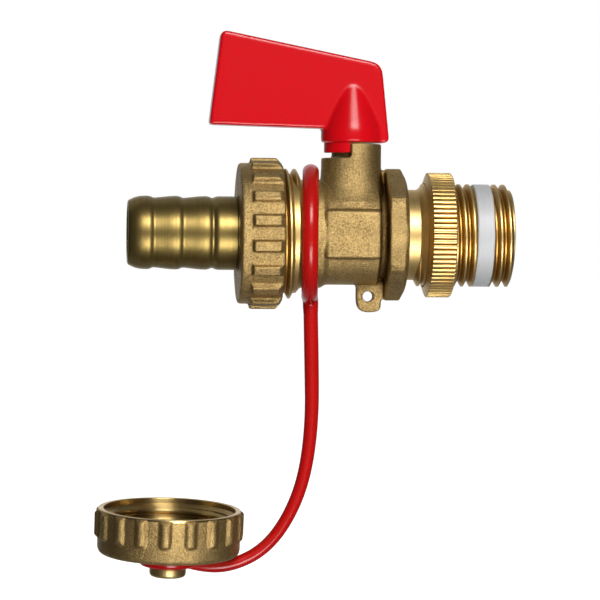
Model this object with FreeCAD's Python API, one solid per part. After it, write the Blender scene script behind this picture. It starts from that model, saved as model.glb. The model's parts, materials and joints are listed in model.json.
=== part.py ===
import FreeCAD
import Part
import math
import os

V = FreeCAD.Vector

# Frame: +X runs along the waterway towards the inlet thread, +Z up through the stem.
# The origin lies on the thread's axis, midway along the thread's seal ring.

# Pipe threads, as plain cylinders: the crest where it shows, the pitch line where two threads meet
thread_depth = 1.162
inlet_thread_r = 10.4775
outlet_thread_r = 13.2205

# Clearances
running_gap = 0.05
seated_gap = 0.03
loose_gap = 0.2
stop_gap_deg = 1.0

# Inlet end, from the open end inwards
inlet_chamfer = 1.0
seal_setback = 4.3
seal_width = 3.5
seal_depth = 1.6
lock_ring_gap = 4.4
lock_ring_width = 5.5
lock_ring_wall = 2.2225
lock_ring_recess = 1.1
lock_ring_cone = 1.1
lock_ring_lip = 0.35
lock_ring_edge = 0.25
knurl_count = 75
knurl_depth = 0.4
inlet_runout = 1.5
inlet_neck_depth = 1.2775
inlet_neck_length = 2.5
inlet_bore_r = 6.0

# Ball, seats and their chamber
ball_r = 7.75
ball_bore_r = 4.75
seat_lip = 0.2
seat_sink = 0.15
seat_length = 3.0
retainer_wall = 0.65
retainer_length = 4.0
slot_width = 2.6
slot_depth = 2.35

# Forged body
body_wall = 2.3
hex_flat_height = 1.7
hex_corner_height = 3.05
hex_length = 4.05
hex_chamfer = 0.85
hex_to_stem = 6.85
hex_groove_length = 1.55
hex_groove_depth = 0.7
hex_fillet = 1.2
web_half_width = 1.6
web_drop = 0.35
pad_half_length = 5.3
pad_half_height = 4.9
pad_height = 0.8
pad_edge = 0.8
tower_r = 6.1
tower_flare = 1.5
tower_flare_sink = 1.7
tower_flare_height = 4.0
tower_height = 5.2
tower_stop_height = 2.9
tower_sleeve_wall = 0.95
collar_length = 0.9
collar_height = 0.7
strap_neck_length = 4.2
outlet_flank = 1.0
outlet_thread_length = 6.7
outlet_chamfer = 0.8

# Seal eye under the body
eye_offset_x = 3.6
eye_below_body = 2.3
eye_r = 1.06
eye_left = 2.35
eye_right = 2.7
eye_drop = 3.25
eye_thickness = 2.5

# Stem
blade_width = 6.0
stem_r = 3.0
stem_collar_r = 4.2
stem_collar_lift = 0.4
stem_collar_height = 1.6
thrust_washer_height = 0.8
stem_square = 4.2
stem_square_height = 8.6
o_ring_section = 1.4
o_ring_lower_rise = 1.8
o_ring_spacing = 2.8

# Handle: corner points are measured from the stem's axis (x) and the handle's foot (z)
handle_tip_low = (-29.0, 3.4)
handle_tip_high = (-26.75, 22.5)
handle_heel_high = (5.75, 15.85)
handle_heel_low_x = 7.45
handle_root = (-4.2, 2.75)
handle_thickness = 6.0
handle_tip_radius = 1.0
handle_heel_radius = 1.9
handle_foot_radius = 0.5
handle_edge = 0.9
boss_wall = 0.1
boss_skirt_height = 2.8
boss_height = 12.9
boss_top_r = 2.6
socket_wall = 0.3
lug_drop = 2.1
lug_setback = 0.5
lug_span_deg = 90.0
handle_travel_deg = 90.0

# Union nut and hose tail
union_engagement = 3.9
nut_web = 1.8
nut_wall = 1.0795
nut_edge = 0.5
rib_height = 1.05
rib_count = 18
rib_foot_width = 2.7
rib_crest_width = 2.0
nut_collar_length = 2.25
nut_rib_slope = 1.15
washer_thickness = 1.5
washer_lip = 0.15
flange_thickness = 1.6
flange_gap = 0.1585
tail_length = 22.4
tail_bore_r = 5.4
tail_crest_r = 7.47
tail_shank_step = 0.22
tail_groove_depth = 0.42
tail_barb_count = 3
tail_barb_pitch = 5.95
tail_shank_length = 5.25
tail_crest_land = 1.0
tail_barb_drop = 0.9
tail_nose_drop = 1.0
tail_nose_length = 2.4

# Blanking cap, built upright on its own axis and then hung on the strap
cap_x = -63.08
cap_base_z = -65.22
cap_lean_x_deg = 1.2
cap_lean_front_deg = 4.5
cap_height = 9.25
cap_wall = 1.2795
cap_foot_edge = 1.2
cap_floor = 2.3
cap_rib_height = 0.85
cap_rib_r = 1.35
cap_rib_length = 6.1
cap_rib_slope = 0.8
cap_rib_turn_deg = 7.7
cap_mouth = 1.7
cap_seal_thickness = 1.6
cap_seal_gap = 0.15
knob_neck_r = 2.7
knob_neck_length = 2.6
knob_lip = 1.02
knob_height = 2.0
knob_edge = 0.9

# Cap strap: one moulding of ring, strap and eyelet
strap_ring_section_r = 1.5
strap_ring_skew_deg = 5.0
strap_d = 2.7
eyelet_width = 2.9
eyelet_thickness = 2.2
strap_route = [
    (-34.6, -12.75),
    (-34.22, -25.6),
    (-34.0, -38.5),
    (-35.5, -50.1),
    (-39.1, -58.75),
    (-43.75, -64.45),
    (-49.55, -67.4),
    (-55.05, -68.0),
    (-58.85, -67.45),
]
arc_share = 0.45

# Radii and heights that follow from the sizes above
inlet_pitch_r = inlet_thread_r - thread_depth / 2
outlet_pitch_r = outlet_thread_r - thread_depth / 2
inlet_neck_r = inlet_thread_r - inlet_neck_depth
lock_ring_r = inlet_thread_r + lock_ring_wall
nut_r = outlet_thread_r + nut_wall
rib_r = nut_r + rib_height
cap_r = outlet_thread_r + cap_wall
flange_r = outlet_thread_r - thread_depth - flange_gap
tail_shank_r = tail_crest_r - tail_shank_step
tail_groove_r = tail_crest_r - tail_groove_depth
seat_r = ball_r + seat_lip
seat_back_offset = ball_r - seat_sink
seat_inner_offset = seat_back_offset - seat_length
cavity_r = seat_r + running_gap
outlet_bore_r = cavity_r + retainer_wall
washer_bore_r = outlet_bore_r - washer_lip
body_r = cavity_r + body_wall
strap_neck_r = body_r + collar_height
pad_face_y = body_r + pad_height
slot_floor_z = ball_r - slot_depth
stem_bore_r = stem_r + running_gap
stem_collar_z = ball_r + stem_collar_lift
stem_shoulder_z = stem_collar_z + stem_collar_height + running_gap + thrust_washer_height
o_ring_lower_z = stem_shoulder_z + o_ring_lower_rise
o_ring_upper_z = o_ring_lower_z + o_ring_spacing
tower_sleeve_r = stem_bore_r + tower_sleeve_wall
ledge_z = body_r + tower_height
tower_top_z = ledge_z + tower_stop_height
stem_top_z = tower_top_z + stem_square_height
handle_foot_z = tower_top_z + loose_gap
boss_r = tower_r + boss_wall
lug_r = tower_r - lug_setback
eye_z = -body_r - eye_below_body
knob_r = knob_neck_r + knob_lip
eyelet_r = knob_neck_r + loose_gap + eyelet_width
strap_ring_r = strap_neck_r + loose_gap + strap_ring_section_r

# Places along the waterway
inlet_end_x = seal_setback + seal_width / 2
lock_right_x = -seal_width / 2 - lock_ring_gap
lock_left_x = lock_right_x - lock_ring_width
inlet_runout_x = lock_left_x - inlet_runout
hex_right_x = inlet_runout_x - inlet_neck_length
hex_left_x = hex_right_x - hex_length
stem_x = hex_left_x - hex_to_stem
neck_right_x = stem_x - tower_r - running_gap
neck_left_x = neck_right_x - strap_neck_length
outlet_crest_x = neck_left_x - outlet_flank
outlet_end_x = outlet_crest_x - outlet_thread_length
nut_right_x = outlet_end_x + union_engagement
flange_right_x = outlet_end_x - washer_thickness
flange_left_x = flange_right_x - flange_thickness
nut_web_x = flange_left_x - running_gap
nut_left_x = nut_web_x - nut_web
tail_end_x = nut_left_x - tail_length
strap_ring_x = neck_right_x - loose_gap - strap_ring_section_r


def outline(profile, place):
    """A closed face from (a, b) points; a 4-tuple is an arc through its first point to its second."""
    start = place(*profile[0])
    here = start
    edges = []
    for item in profile[1:]:
        end = place(*item[-2:])
        if len(item) == 4:
            edges.append(Part.Arc(here, place(*item[:2]), end).toShape())
        else:
            edges.append(Part.LineSegment(here, end).toShape())
        here = end
    edges.append(Part.LineSegment(here, start).toShape())
    return Part.Face(Part.Wire(edges))


def turned_on_x(profile):
    """A solid turned round the waterway's axis from (x, radius) points."""
    return outline(profile, lambda x, r: V(x, 0, r)).revolve(V(0, 0, 0), V(1, 0, 0), 360)


def turned_on_z(profile, x=0.0):
    """A solid turned round an upright axis at x from (radius, z) points."""
    face = outline(profile, lambda r, z: V(x + r, 0, z))
    return face.revolve(V(x, 0, 0), V(0, 0, 1), 360)


def rod_x(r, x0, x1):
    return Part.makeCylinder(r, x1 - x0, V(x0, 0, 0), V(1, 0, 0))


def rod_z(r, z0, z1, x=0.0):
    return Part.makeCylinder(r, z1 - z0, V(x, 0, z0))


def ring_sector(r_in, r_out, z0, z1, start_deg, span_deg):
    """A sector of a ring round the stem, counted from +X by the right-hand rule about +Z."""
    face = outline(
        [(r_in, z0), (r_out, z0), (r_out, z1), (r_in, z1)],
        lambda r, z: V(stem_x + r, 0, z),
    )
    sector = face.revolve(V(stem_x, 0, 0), V(0, 0, 1), span_deg)
    return sector.rotate(V(stem_x, 0, 0), V(0, 0, 1), start_deg)


def fillet_where(shape, radius, test):
    """Round each edge whose middle point passes the test."""
    chosen = []
    for edge in shape.Edges:
        middle = edge.valueAt((edge.FirstParameter + edge.LastParameter) / 2)
        if test(middle):
            chosen.append(edge)
    return shape.makeFillet(radius, chosen)


def handle_stop():
    """The raised half of the tower's rim, which stops the handle's lug at both ends of its travel."""
    span = 360 - lug_span_deg - handle_travel_deg - 2 * stop_gap_deg
    return ring_sector(
        tower_sleeve_r - loose_gap, tower_r, ledge_z - 1, tower_top_z, 270 + stop_gap_deg, span
    )


def body_hexagon():
    flat = body_r + hex_flat_height
    corner = flat / math.cos(math.pi / 6)
    turned_r = body_r + hex_corner_height
    points = []
    for i in range(7):
        angle = math.radians(60 * i)
        points.append(V(hex_left_x, corner * math.sin(angle), corner * math.cos(angle)))
    prism = Part.Face(Part.makePolygon(points)).extrude(V(hex_length, 0, 0))
    turned = turned_on_x([
        (hex_left_x, 0),
        (hex_left_x, turned_r),
        (hex_right_x - hex_chamfer, turned_r),
        (hex_right_x, flat - 0.4 * hex_chamfer),
        (hex_right_x, 0),
    ])
    return prism.common(turned)


def tower():
    """The stem's tower, flared into the barrel and trimmed where the strap's neck begins."""
    curve = 1 - math.sqrt(0.5)
    flare_z = body_r - tower_flare_sink
    flared = turned_on_z(
        [
            (0, 0),
            (tower_r + tower_flare, 0),
            (tower_r + tower_flare, flare_z),
            (
                tower_r + curve * tower_flare,
                flare_z + curve * tower_flare_height,
                tower_r,
                flare_z + tower_flare_height,
            ),
            (tower_r, ledge_z),
            (0, ledge_z),
        ],
        stem_x,
    )
    reach = 2 * (tower_r + tower_flare)
    return flared.common(Part.makeBox(reach, 2 * reach, ledge_z, V(neck_right_x, -reach, 0)))


def web():
    """The metal that fills the corner between the tower and the hexagon's upper edge."""
    left = stem_x + tower_r / 2
    foot = body_r / 2
    top = body_r + hex_corner_height - web_drop
    return Part.makeBox(
        hex_left_x + hex_length / 4 - left,
        2 * web_half_width,
        top - foot,
        V(left, -web_half_width, foot),
    )


def seal_eye():
    """The flat ear for a seal wire, in the plane of the stem and the waterway and joined to the hexagon."""
    x = stem_x + eye_offset_x
    plate = outline(
        [
            (x - eye_left, -body_r * 0.9),
            (x - eye_left, eye_z),
            (x, eye_z - eye_drop, x + eye_right, eye_z - eye_drop / 4),
            (hex_left_x + hex_length / 4, eye_z),
            (hex_left_x + hex_length / 4, -body_r * 0.9),
        ],
        lambda a, b: V(a, -eye_thickness / 2, b),
    )
    hole = Part.makeCylinder(eye_r, 2 * eye_thickness, V(x, -eye_thickness, eye_z), V(0, 1, 0))
    return plate.extrude(V(0, eye_thickness, 0)).cut(hole)


def valve_body():
    lock_step = lock_right_x + running_gap
    nut_step = nut_right_x + running_gap
    groove_r = body_r - hex_groove_depth
    curve = 1 - math.sqrt(0.5)
    barrel = turned_on_x([
        (outlet_end_x, 0),
        (outlet_end_x, outlet_pitch_r - outlet_chamfer),
        (outlet_end_x + outlet_chamfer, outlet_pitch_r),
        (nut_step, outlet_pitch_r),
        (nut_step, outlet_thread_r),
        (outlet_crest_x, outlet_thread_r),
        (neck_left_x, strap_neck_r),
        (neck_right_x, strap_neck_r),
        (neck_right_x + collar_length, body_r),
        (hex_left_x - hex_groove_length, body_r),
        (hex_left_x - hex_groove_length, groove_r),
        (hex_left_x - hex_fillet, groove_r),
        (
            hex_left_x - curve * hex_fillet,
            groove_r + curve * hex_fillet,
            hex_left_x,
            groove_r + hex_fillet,
        ),
        (hex_left_x + hex_length / 2, groove_r + hex_fillet),
        (hex_left_x + hex_length / 2, inlet_neck_r),
        (inlet_runout_x, inlet_neck_r),
        (inlet_runout_x + inlet_pitch_r - inlet_neck_r, inlet_pitch_r),
        (lock_step, inlet_pitch_r),
        (lock_step, inlet_thread_r),
        (-seal_width / 2, inlet_thread_r),
        (-seal_width / 2, inlet_thread_r - seal_depth),
        (seal_width / 2, inlet_thread_r - seal_depth),
        (seal_width / 2, inlet_thread_r),
        (inlet_end_x - inlet_chamfer, inlet_thread_r),
        (inlet_end_x, inlet_thread_r - inlet_chamfer),
        (inlet_end_x, 0),
    ])
    pad = Part.makeBox(
        2 * pad_half_length,
        2 * pad_face_y,
        2 * pad_half_height,
        V(stem_x - pad_half_length, -pad_face_y, -pad_half_height),
    )
    pad = fillet_where(pad, pad_edge, lambda p: abs(abs(p.y) - pad_face_y) < 0.01)
    sleeve = rod_z(tower_sleeve_r, ledge_z - 1, tower_top_z, stem_x)
    forged = barrel.multiFuse([tower(), pad, body_hexagon(), sleeve, handle_stop(), seal_eye(), web()])
    waterway = turned_on_x([
        (outlet_end_x - 1, 0),
        (outlet_end_x - 1, outlet_bore_r),
        (stem_x - seat_back_offset, outlet_bore_r),
        (stem_x - seat_back_offset, cavity_r),
        (stem_x + seat_back_offset, cavity_r),
        (stem_x + seat_back_offset, inlet_bore_r),
        (inlet_end_x + 1, inlet_bore_r),
        (inlet_end_x + 1, 0),
    ])
    stem_hole = rod_z(stem_bore_r, 0, tower_top_z + 1, stem_x)
    collar_hole = rod_z(stem_collar_r + loose_gap, 0, stem_shoulder_z, stem_x)
    return forged.cut(waterway).cut(stem_hole).cut(collar_hole).removeSplitter()


def ball():
    sphere = Part.makeSphere(ball_r, V(stem_x, 0, 0))
    bore = rod_x(ball_bore_r, stem_x - ball_r - 1, stem_x + ball_r + 1)
    slot = Part.makeBox(
        slot_width,
        2 * ball_r + 2,
        ball_r,
        V(stem_x - slot_width / 2, -ball_r - 1, slot_floor_z),
    )
    return sphere.cut(bore).cut(slot)


def ball_seat(side):
    """A seat ring on the inlet side (1) or the outlet side (-1) of the ball."""
    x0 = stem_x + side * seat_inner_offset
    x1 = stem_x + side * (seat_back_offset - seated_gap)
    ring = turned_on_x([(x0, ball_bore_r), (x0, seat_r), (x1, seat_r), (x1, ball_bore_r)])
    return ring.cut(Part.makeSphere(ball_r + running_gap, V(stem_x, 0, 0)))


def seat_retainer():
    right = stem_x - seat_back_offset
    left = right - retainer_length
    outer = outlet_bore_r - seated_gap
    ring = rod_x(outer, left, right).cut(rod_x(ball_bore_r, left - 1, right + 1))
    for side in (-1, 1):
        notch = Part.makeBox(
            retainer_length / 3,
            outer,
            slot_width,
            V(left, min(0, side * outer), -slot_width / 2),
        )
        ring = ring.cut(notch)
    return ring


def o_ring(z):
    centre_r = stem_bore_r - running_gap - o_ring_section / 2
    return Part.makeTorus(centre_r, o_ring_section / 2, V(stem_x, 0, z), V(0, 0, 1))


def stem():
    shaft = turned_on_z(
        [
            (0, stem_collar_z),
            (stem_collar_r, stem_collar_z),
            (stem_collar_r, stem_collar_z + stem_collar_height),
            (stem_r, stem_collar_z + stem_collar_height),
            (stem_r, tower_top_z),
            (0, tower_top_z),
        ],
        stem_x,
    )
    blade = Part.makeBox(
        slot_width - 2 * running_gap,
        blade_width,
        stem_collar_z - slot_floor_z - loose_gap + 1,
        V(stem_x - slot_width / 2 + running_gap, -blade_width / 2, slot_floor_z + loose_gap),
    )
    square = Part.makeBox(
        stem_square,
        stem_square,
        stem_top_z - tower_top_z + 1,
        V(stem_x - stem_square / 2, -stem_square / 2, tower_top_z - 1),
    )
    body = shaft.multiFuse([blade, square])
    groove_r = stem_bore_r - running_gap - o_ring_section - seated_gap
    half = o_ring_section / 2 + loose_gap
    for z in (o_ring_lower_z, o_ring_upper_z):
        groove = rod_z(stem_r + 1, z - half, z + half, stem_x)
        body = body.cut(groove.cut(rod_z(groove_r, z - half - 1, z + half + 1, stem_x)))
    return body.removeSplitter()


def stem_thrust_washer():
    bottom = stem_collar_z + stem_collar_height + running_gap
    disc = rod_z(stem_collar_r, bottom, bottom + thrust_washer_height, stem_x)
    return disc.cut(rod_z(stem_bore_r, bottom - 1, bottom + thrust_washer_height + 1, stem_x))


def handle():
    heel_low = (handle_heel_low_x, 0)
    corners = [
        handle_tip_low,
        handle_tip_high,
        handle_heel_high,
        heel_low,
        (handle_root[0] / 2, 0),
        handle_root,
    ]
    half = handle_thickness / 2
    wing = outline(corners, lambda a, b: V(stem_x + a, -half, handle_foot_z + b))
    wing = wing.extrude(V(0, 2 * half, 0))
    boss_top_z = handle_foot_z + boss_height

    def round_corner(shape, corner, radius):
        x, z = stem_x + corner[0], handle_foot_z + corner[1]
        return fillet_where(shape, radius, lambda p: math.hypot(p.x - x, p.z - z) < 0.01)

    wing = round_corner(wing, handle_tip_high, handle_tip_radius)
    wing = round_corner(wing, handle_heel_high, handle_heel_radius)
    wing = round_corner(wing, heel_low, handle_foot_radius)
    wing = round_corner(wing, handle_tip_low, handle_foot_radius)
    wing = fillet_where(wing, handle_edge, lambda p: abs(abs(p.y) - half) < 0.01)
    boss = turned_on_z(
        [
            (0, handle_foot_z),
            (boss_r, handle_foot_z),
            (boss_r, handle_foot_z + boss_skirt_height),
            (boss_top_r, boss_top_z),
            (0, boss_top_z),
        ],
        stem_x,
    )
    lug = ring_sector(
        tower_sleeve_r + loose_gap,
        lug_r,
        handle_foot_z - lug_drop,
        handle_foot_z + boss_skirt_height / 2,
        270 - lug_span_deg,
        lug_span_deg,
    )
    grip = wing.multiFuse([boss, lug])
    wall = stem_square / 2 + seated_gap
    socket = Part.makeBox(
        2 * wall,
        2 * wall,
        stem_top_z + socket_wall - handle_foot_z + 1,
        V(stem_x - wall, -wall, handle_foot_z - 1),
    )
    return grip.cut(socket).removeSplitter()


def hose_tail():
    barb = tail_barb_pitch
    shank_left = nut_left_x - tail_shank_length
    profile = [
        (flange_right_x, tail_bore_r),
        (flange_right_x, flange_r),
        (flange_left_x, flange_r),
        (flange_left_x, tail_shank_r),
        (nut_left_x - loose_gap, tail_shank_r),
        (nut_left_x - 2 * loose_gap, tail_crest_r),
        (shank_left + tail_barb_drop, tail_crest_r),
        (shank_left, tail_groove_r),
    ]
    for i in range(tail_barb_count - 1):
        right = shank_left - i * barb
        crest = right - tail_barb_drop
        land = crest - tail_crest_land
        profile += [
            (crest, tail_crest_r),
            (land, tail_crest_r),
            ((land + right - barb) / 2, (tail_crest_r * 1.3 + tail_groove_r * 0.7) / 2,
             right - barb, tail_groove_r),
        ]
    right = shank_left - (tail_barb_count - 1) * barb
    crest = right - tail_barb_drop
    profile += [
        (crest, tail_crest_r),
        (tail_end_x + tail_nose_length, tail_crest_r),
        (tail_end_x + tail_nose_length * 0.3, tail_crest_r - tail_nose_drop * 0.45,
         tail_end_x, tail_crest_r - tail_nose_drop),
        (tail_end_x, tail_bore_r),
    ]
    return turned_on_x(profile)


def hose_washer():
    left = flange_right_x
    washer = rod_x(flange_r - running_gap, left, outlet_end_x)
    return washer.cut(rod_x(washer_bore_r, left - 1, outlet_end_x + 1))


def union_nut():
    rib_left = nut_left_x + nut_collar_length
    shell = turned_on_x([
        (nut_left_x, 0),
        (nut_left_x, nut_r - nut_edge),
        (nut_left_x + nut_edge * 0.3, nut_r - nut_edge * 0.3, nut_left_x + nut_edge, nut_r),
        (nut_right_x - nut_edge, nut_r),
        (nut_right_x, nut_r - nut_edge),
        (nut_right_x, 0),
    ])
    foot_r = outlet_thread_r
    rib = outline(
        [
            (-rib_foot_width / 2, foot_r),
            (rib_foot_width / 2, foot_r),
            (rib_crest_width / 2, rib_r + 1),
            (-rib_crest_width / 2, rib_r + 1),
        ],
        lambda y, z: V(rib_left, y, z),
    ).extrude(V(nut_right_x - rib_left, 0, 0))
    envelope = turned_on_x([
        (rib_left, 0),
        (rib_left, nut_r),
        (rib_left + nut_edge / 2, rib_r),
        (nut_right_x - nut_rib_slope, rib_r),
        (nut_right_x, nut_r - nut_edge / 2),
        (nut_right_x, 0),
    ])
    rib = rib.common(envelope)
    ribs = []
    for i in range(rib_count):
        copy = rib.copy()
        copy.rotate(V(0, 0, 0), V(1, 0, 0), 360 / rib_count * i)
        ribs.append(copy)
    inside = turned_on_x([
        (nut_left_x - 1, 0),
        (nut_left_x - 1, tail_crest_r + loose_gap),
        (nut_web_x, tail_crest_r + loose_gap),
        (nut_web_x, outlet_pitch_r + running_gap),
        (nut_right_x + 1, outlet_pitch_r + running_gap),
        (nut_right_x + 1, 0),
    ])
    return shell.multiFuse(ribs).cut(inside).removeSplitter()


def lock_ring():
    bore = inlet_pitch_r + running_gap
    recess = inlet_thread_r + 2 * loose_gap
    blank = turned_on_x([
        (lock_left_x + lock_ring_recess, bore),
        (lock_left_x + lock_ring_recess, recess),
        (lock_left_x, recess),
        (lock_left_x, recess + lock_ring_lip),
        (lock_left_x + lock_ring_cone, lock_ring_r),
        (lock_right_x - lock_ring_edge, lock_ring_r),
        (lock_right_x, lock_ring_r - lock_ring_edge),
        (lock_right_x, bore),
    ])
    points = []
    for i in range(2 * knurl_count + 1):
        r = lock_ring_r + seated_gap if i % 2 == 0 else lock_ring_r - knurl_depth
        angle = math.pi * i / knurl_count
        points.append(V(lock_left_x, r * math.sin(angle), r * math.cos(angle)))
    knurled = Part.Face(Part.makePolygon(points)).extrude(V(lock_ring_width, 0, 0))
    return blank.common(knurled)


def thread_seal_ring():
    left = -seal_width / 2 + seated_gap
    right = seal_width / 2 - seated_gap
    ring = rod_x(inlet_thread_r - seated_gap, left, right)
    return ring.cut(rod_x(inlet_thread_r - seal_depth + seated_gap, left - 1, right + 1))


def cap_axis():
    return V(
        math.tan(math.radians(cap_lean_x_deg)),
        -math.tan(math.radians(cap_lean_front_deg)),
        1,
    ).normalize()


def hang_on_strap(shape):
    """Move a piece built upright at the origin to the cap's place, leaning with the cap."""
    shape.Placement = FreeCAD.Placement(
        V(cap_x, 0, cap_base_z), FreeCAD.Rotation(V(0, 0, 1), cap_axis())
    )
    return shape


def cap():
    cup = turned_on_z([
        (0, 0),
        (cap_r - cap_foot_edge, 0),
        (cap_r - cap_foot_edge * 0.3, cap_foot_edge * 0.3, cap_r, cap_foot_edge),
        (cap_r, cap_height),
        (0, cap_height),
    ])
    rib_foot_z = cap_height - cap_rib_length
    crest_r = cap_r + cap_rib_height
    envelope = turned_on_z([
        (0, rib_foot_z),
        (cap_r, rib_foot_z),
        (crest_r, rib_foot_z + cap_rib_slope),
        (crest_r, cap_height - cap_rib_slope),
        (cap_r, cap_height),
        (0, cap_height),
    ])
    ribs = []
    for i in range(rib_count):
        angle = math.radians(cap_rib_turn_deg + 360 / rib_count * i)
        centre_r = crest_r - cap_rib_r
        at = V(centre_r * math.cos(angle), centre_r * math.sin(angle), rib_foot_z)
        ribs.append(Part.makeCylinder(cap_rib_r, cap_rib_length, at).common(envelope))
    bore_r = outlet_pitch_r + running_gap
    mouth_r = outlet_thread_r + loose_gap
    inside = turned_on_z([
        (0, cap_floor),
        (bore_r, cap_floor),
        (bore_r, cap_height - cap_mouth),
        (mouth_r, cap_height - cap_mouth + mouth_r - bore_r),
        (mouth_r, cap_height + 1),
        (0, cap_height + 1),
    ])
    knob_low = -knob_neck_length - knob_height
    knob = turned_on_z([
        (0, 1),
        (knob_neck_r, 1),
        (knob_neck_r, -knob_neck_length),
        (knob_r, -knob_neck_length),
        (knob_r, knob_low + knob_edge),
        (knob_r - knob_edge * 0.3, knob_low + knob_edge * 0.3, knob_r - knob_edge, knob_low),
        (0, knob_low),
    ])
    return hang_on_strap(cup.multiFuse(ribs + [knob]).cut(inside).removeSplitter())


def cap_seal():
    disc = rod_z(outlet_pitch_r - cap_seal_gap, cap_floor, cap_floor + cap_seal_thickness)
    return hang_on_strap(disc)


def strap_path():
    """Straight runs joined by tangent arcs, each as large as its two runs allow."""
    points = [V(x, 0, z) for x, z in strap_route]
    edges = []
    here = points[0]
    for before, at, after in zip(points, points[1:], points[2:]):
        run_in = at - before
        run_out = after - at
        turn = run_in.getAngle(run_out)
        reach = arc_share * min(run_in.Length, run_out.Length)
        radius = reach / math.tan(turn / 2)
        print("strap radius %.1f mm" % radius)
        start = at - run_in.normalize() * reach
        end = at + run_out.normalize() * reach
        middle = (start + end) * 0.5
        inward = (middle - at).normalize()
        crown = at + inward * (radius / math.cos(turn / 2) - radius)
        edges.append(Part.LineSegment(here, start).toShape())
        edges.append(Part.Arc(start, crown, end).toShape())
        here = end
    edges.append(Part.LineSegment(here, points[-1]).toShape())
    return Part.Wire(edges)


def cap_strap():
    skew = math.radians(strap_ring_skew_deg)
    ring_axis = V(math.cos(skew), -math.sin(skew), 0)
    ring = Part.makeTorus(strap_ring_r, strap_ring_section_r, V(strap_ring_x, 0, 0), ring_axis)
    path = strap_path()
    start = path.Edges[0].valueAt(path.Edges[0].FirstParameter)
    heading = path.Edges[0].tangentAt(path.Edges[0].FirstParameter)
    section = Part.Wire(Part.makeCircle(strap_d / 2, start, heading))
    tube = path.makePipeShell([section], True, True)
    print("strap volume %.1f of %.1f mm3" % (tube.Volume, path.Length * math.pi * strap_d**2 / 4))
    print("strap length %.1f mm" % path.Length)
    top = -(knob_neck_length - eyelet_thickness) / 2
    eyelet = rod_z(eyelet_r, top - eyelet_thickness, top)
    eyelet = eyelet.cut(rod_z(knob_neck_r + loose_gap, top - eyelet_thickness - 1, top + 1))
    return ring.multiFuse([tube, hang_on_strap(eyelet)])


def main():
    os.makedirs("parts", exist_ok=True)
    pieces = {
        "valve_body": valve_body(),
        "ball": ball(),
        "ball_seat_inlet": ball_seat(1),
        "ball_seat_outlet": ball_seat(-1),
        "seat_retainer": seat_retainer(),
        "stem": stem(),
        "stem_thrust_washer": stem_thrust_washer(),
        "stem_o_ring_lower": o_ring(o_ring_lower_z),
        "stem_o_ring_upper": o_ring(o_ring_upper_z),
        "handle": handle(),
        "hose_tail": hose_tail(),
        "hose_washer": hose_washer(),
        "union_nut": union_nut(),
        "lock_ring": lock_ring(),
        "thread_seal_ring": thread_seal_ring(),
        "cap_strap": cap_strap(),
        "cap": cap(),
        "cap_seal": cap_seal(),
    }
    for name, shape in pieces.items():
        shape.exportStep("parts/%s.step" % name)


main()
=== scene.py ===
import json
from math import cos, pi, radians, sin, tau

import bmesh
import bpy
from mathutils import Matrix, Quaternion, Vector


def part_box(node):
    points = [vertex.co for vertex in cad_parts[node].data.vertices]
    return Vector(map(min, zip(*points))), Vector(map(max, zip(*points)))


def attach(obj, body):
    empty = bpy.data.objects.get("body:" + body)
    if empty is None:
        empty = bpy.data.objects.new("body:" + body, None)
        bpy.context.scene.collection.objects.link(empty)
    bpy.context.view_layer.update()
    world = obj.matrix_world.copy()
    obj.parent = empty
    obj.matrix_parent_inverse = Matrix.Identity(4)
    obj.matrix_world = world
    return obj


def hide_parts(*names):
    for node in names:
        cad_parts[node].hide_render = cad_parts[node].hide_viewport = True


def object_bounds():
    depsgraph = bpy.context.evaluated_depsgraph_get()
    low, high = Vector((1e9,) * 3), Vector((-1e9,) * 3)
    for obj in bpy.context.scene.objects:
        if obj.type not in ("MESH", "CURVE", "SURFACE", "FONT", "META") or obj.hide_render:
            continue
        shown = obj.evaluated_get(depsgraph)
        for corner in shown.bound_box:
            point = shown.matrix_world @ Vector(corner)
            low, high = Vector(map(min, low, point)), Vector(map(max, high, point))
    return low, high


bl_info = {
    "name": "Drain cock",
    "version": (1, 0, 0),
    "blender": (4, 5, 0),
    "location": "View3D > Sidebar > Drain cock",
    "description": "Dresses the drain cock's solids with threads, forged skins, ribs and finishes",
    "category": "Object",
}

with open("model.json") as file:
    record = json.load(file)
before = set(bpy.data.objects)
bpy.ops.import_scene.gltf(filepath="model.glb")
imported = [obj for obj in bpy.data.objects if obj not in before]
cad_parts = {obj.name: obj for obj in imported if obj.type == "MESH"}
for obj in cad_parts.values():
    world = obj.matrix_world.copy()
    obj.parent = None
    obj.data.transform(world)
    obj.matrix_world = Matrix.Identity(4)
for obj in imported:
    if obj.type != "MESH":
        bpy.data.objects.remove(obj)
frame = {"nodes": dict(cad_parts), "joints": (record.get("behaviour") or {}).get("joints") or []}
CAD_LOW, CAD_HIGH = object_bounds()
JOINTS = {joint["name"]: joint for joint in frame["joints"]}

# Meshes are worked out in millimetres and stored in metres
MM = 0.001
TO_METRES = Matrix.Scale(MM, 4)

ALONG_X = (1.0, 0.0, 0.0)
ALONG_Z = (0.0, 0.0, 1.0)
WHITE = (1.0, 1.0, 1.0, 1.0)


def span_x(node):
    """A solid's lowest and highest place along the waterway, in millimetres."""
    low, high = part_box(node)
    return low.x / MM, high.x / MM


def joint_place(name):
    return Vector(JOINTS[name]["pos_m"]) / MM


def on_joint(name, axis):
    """The turn and shift that bring an axis through the origin onto a joint's axis."""
    turn = Vector(axis).rotation_difference(Vector(JOINTS[name]["axis"]))
    return Matrix.Translation(joint_place(name)) @ turn.to_matrix().to_4x4()


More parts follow.
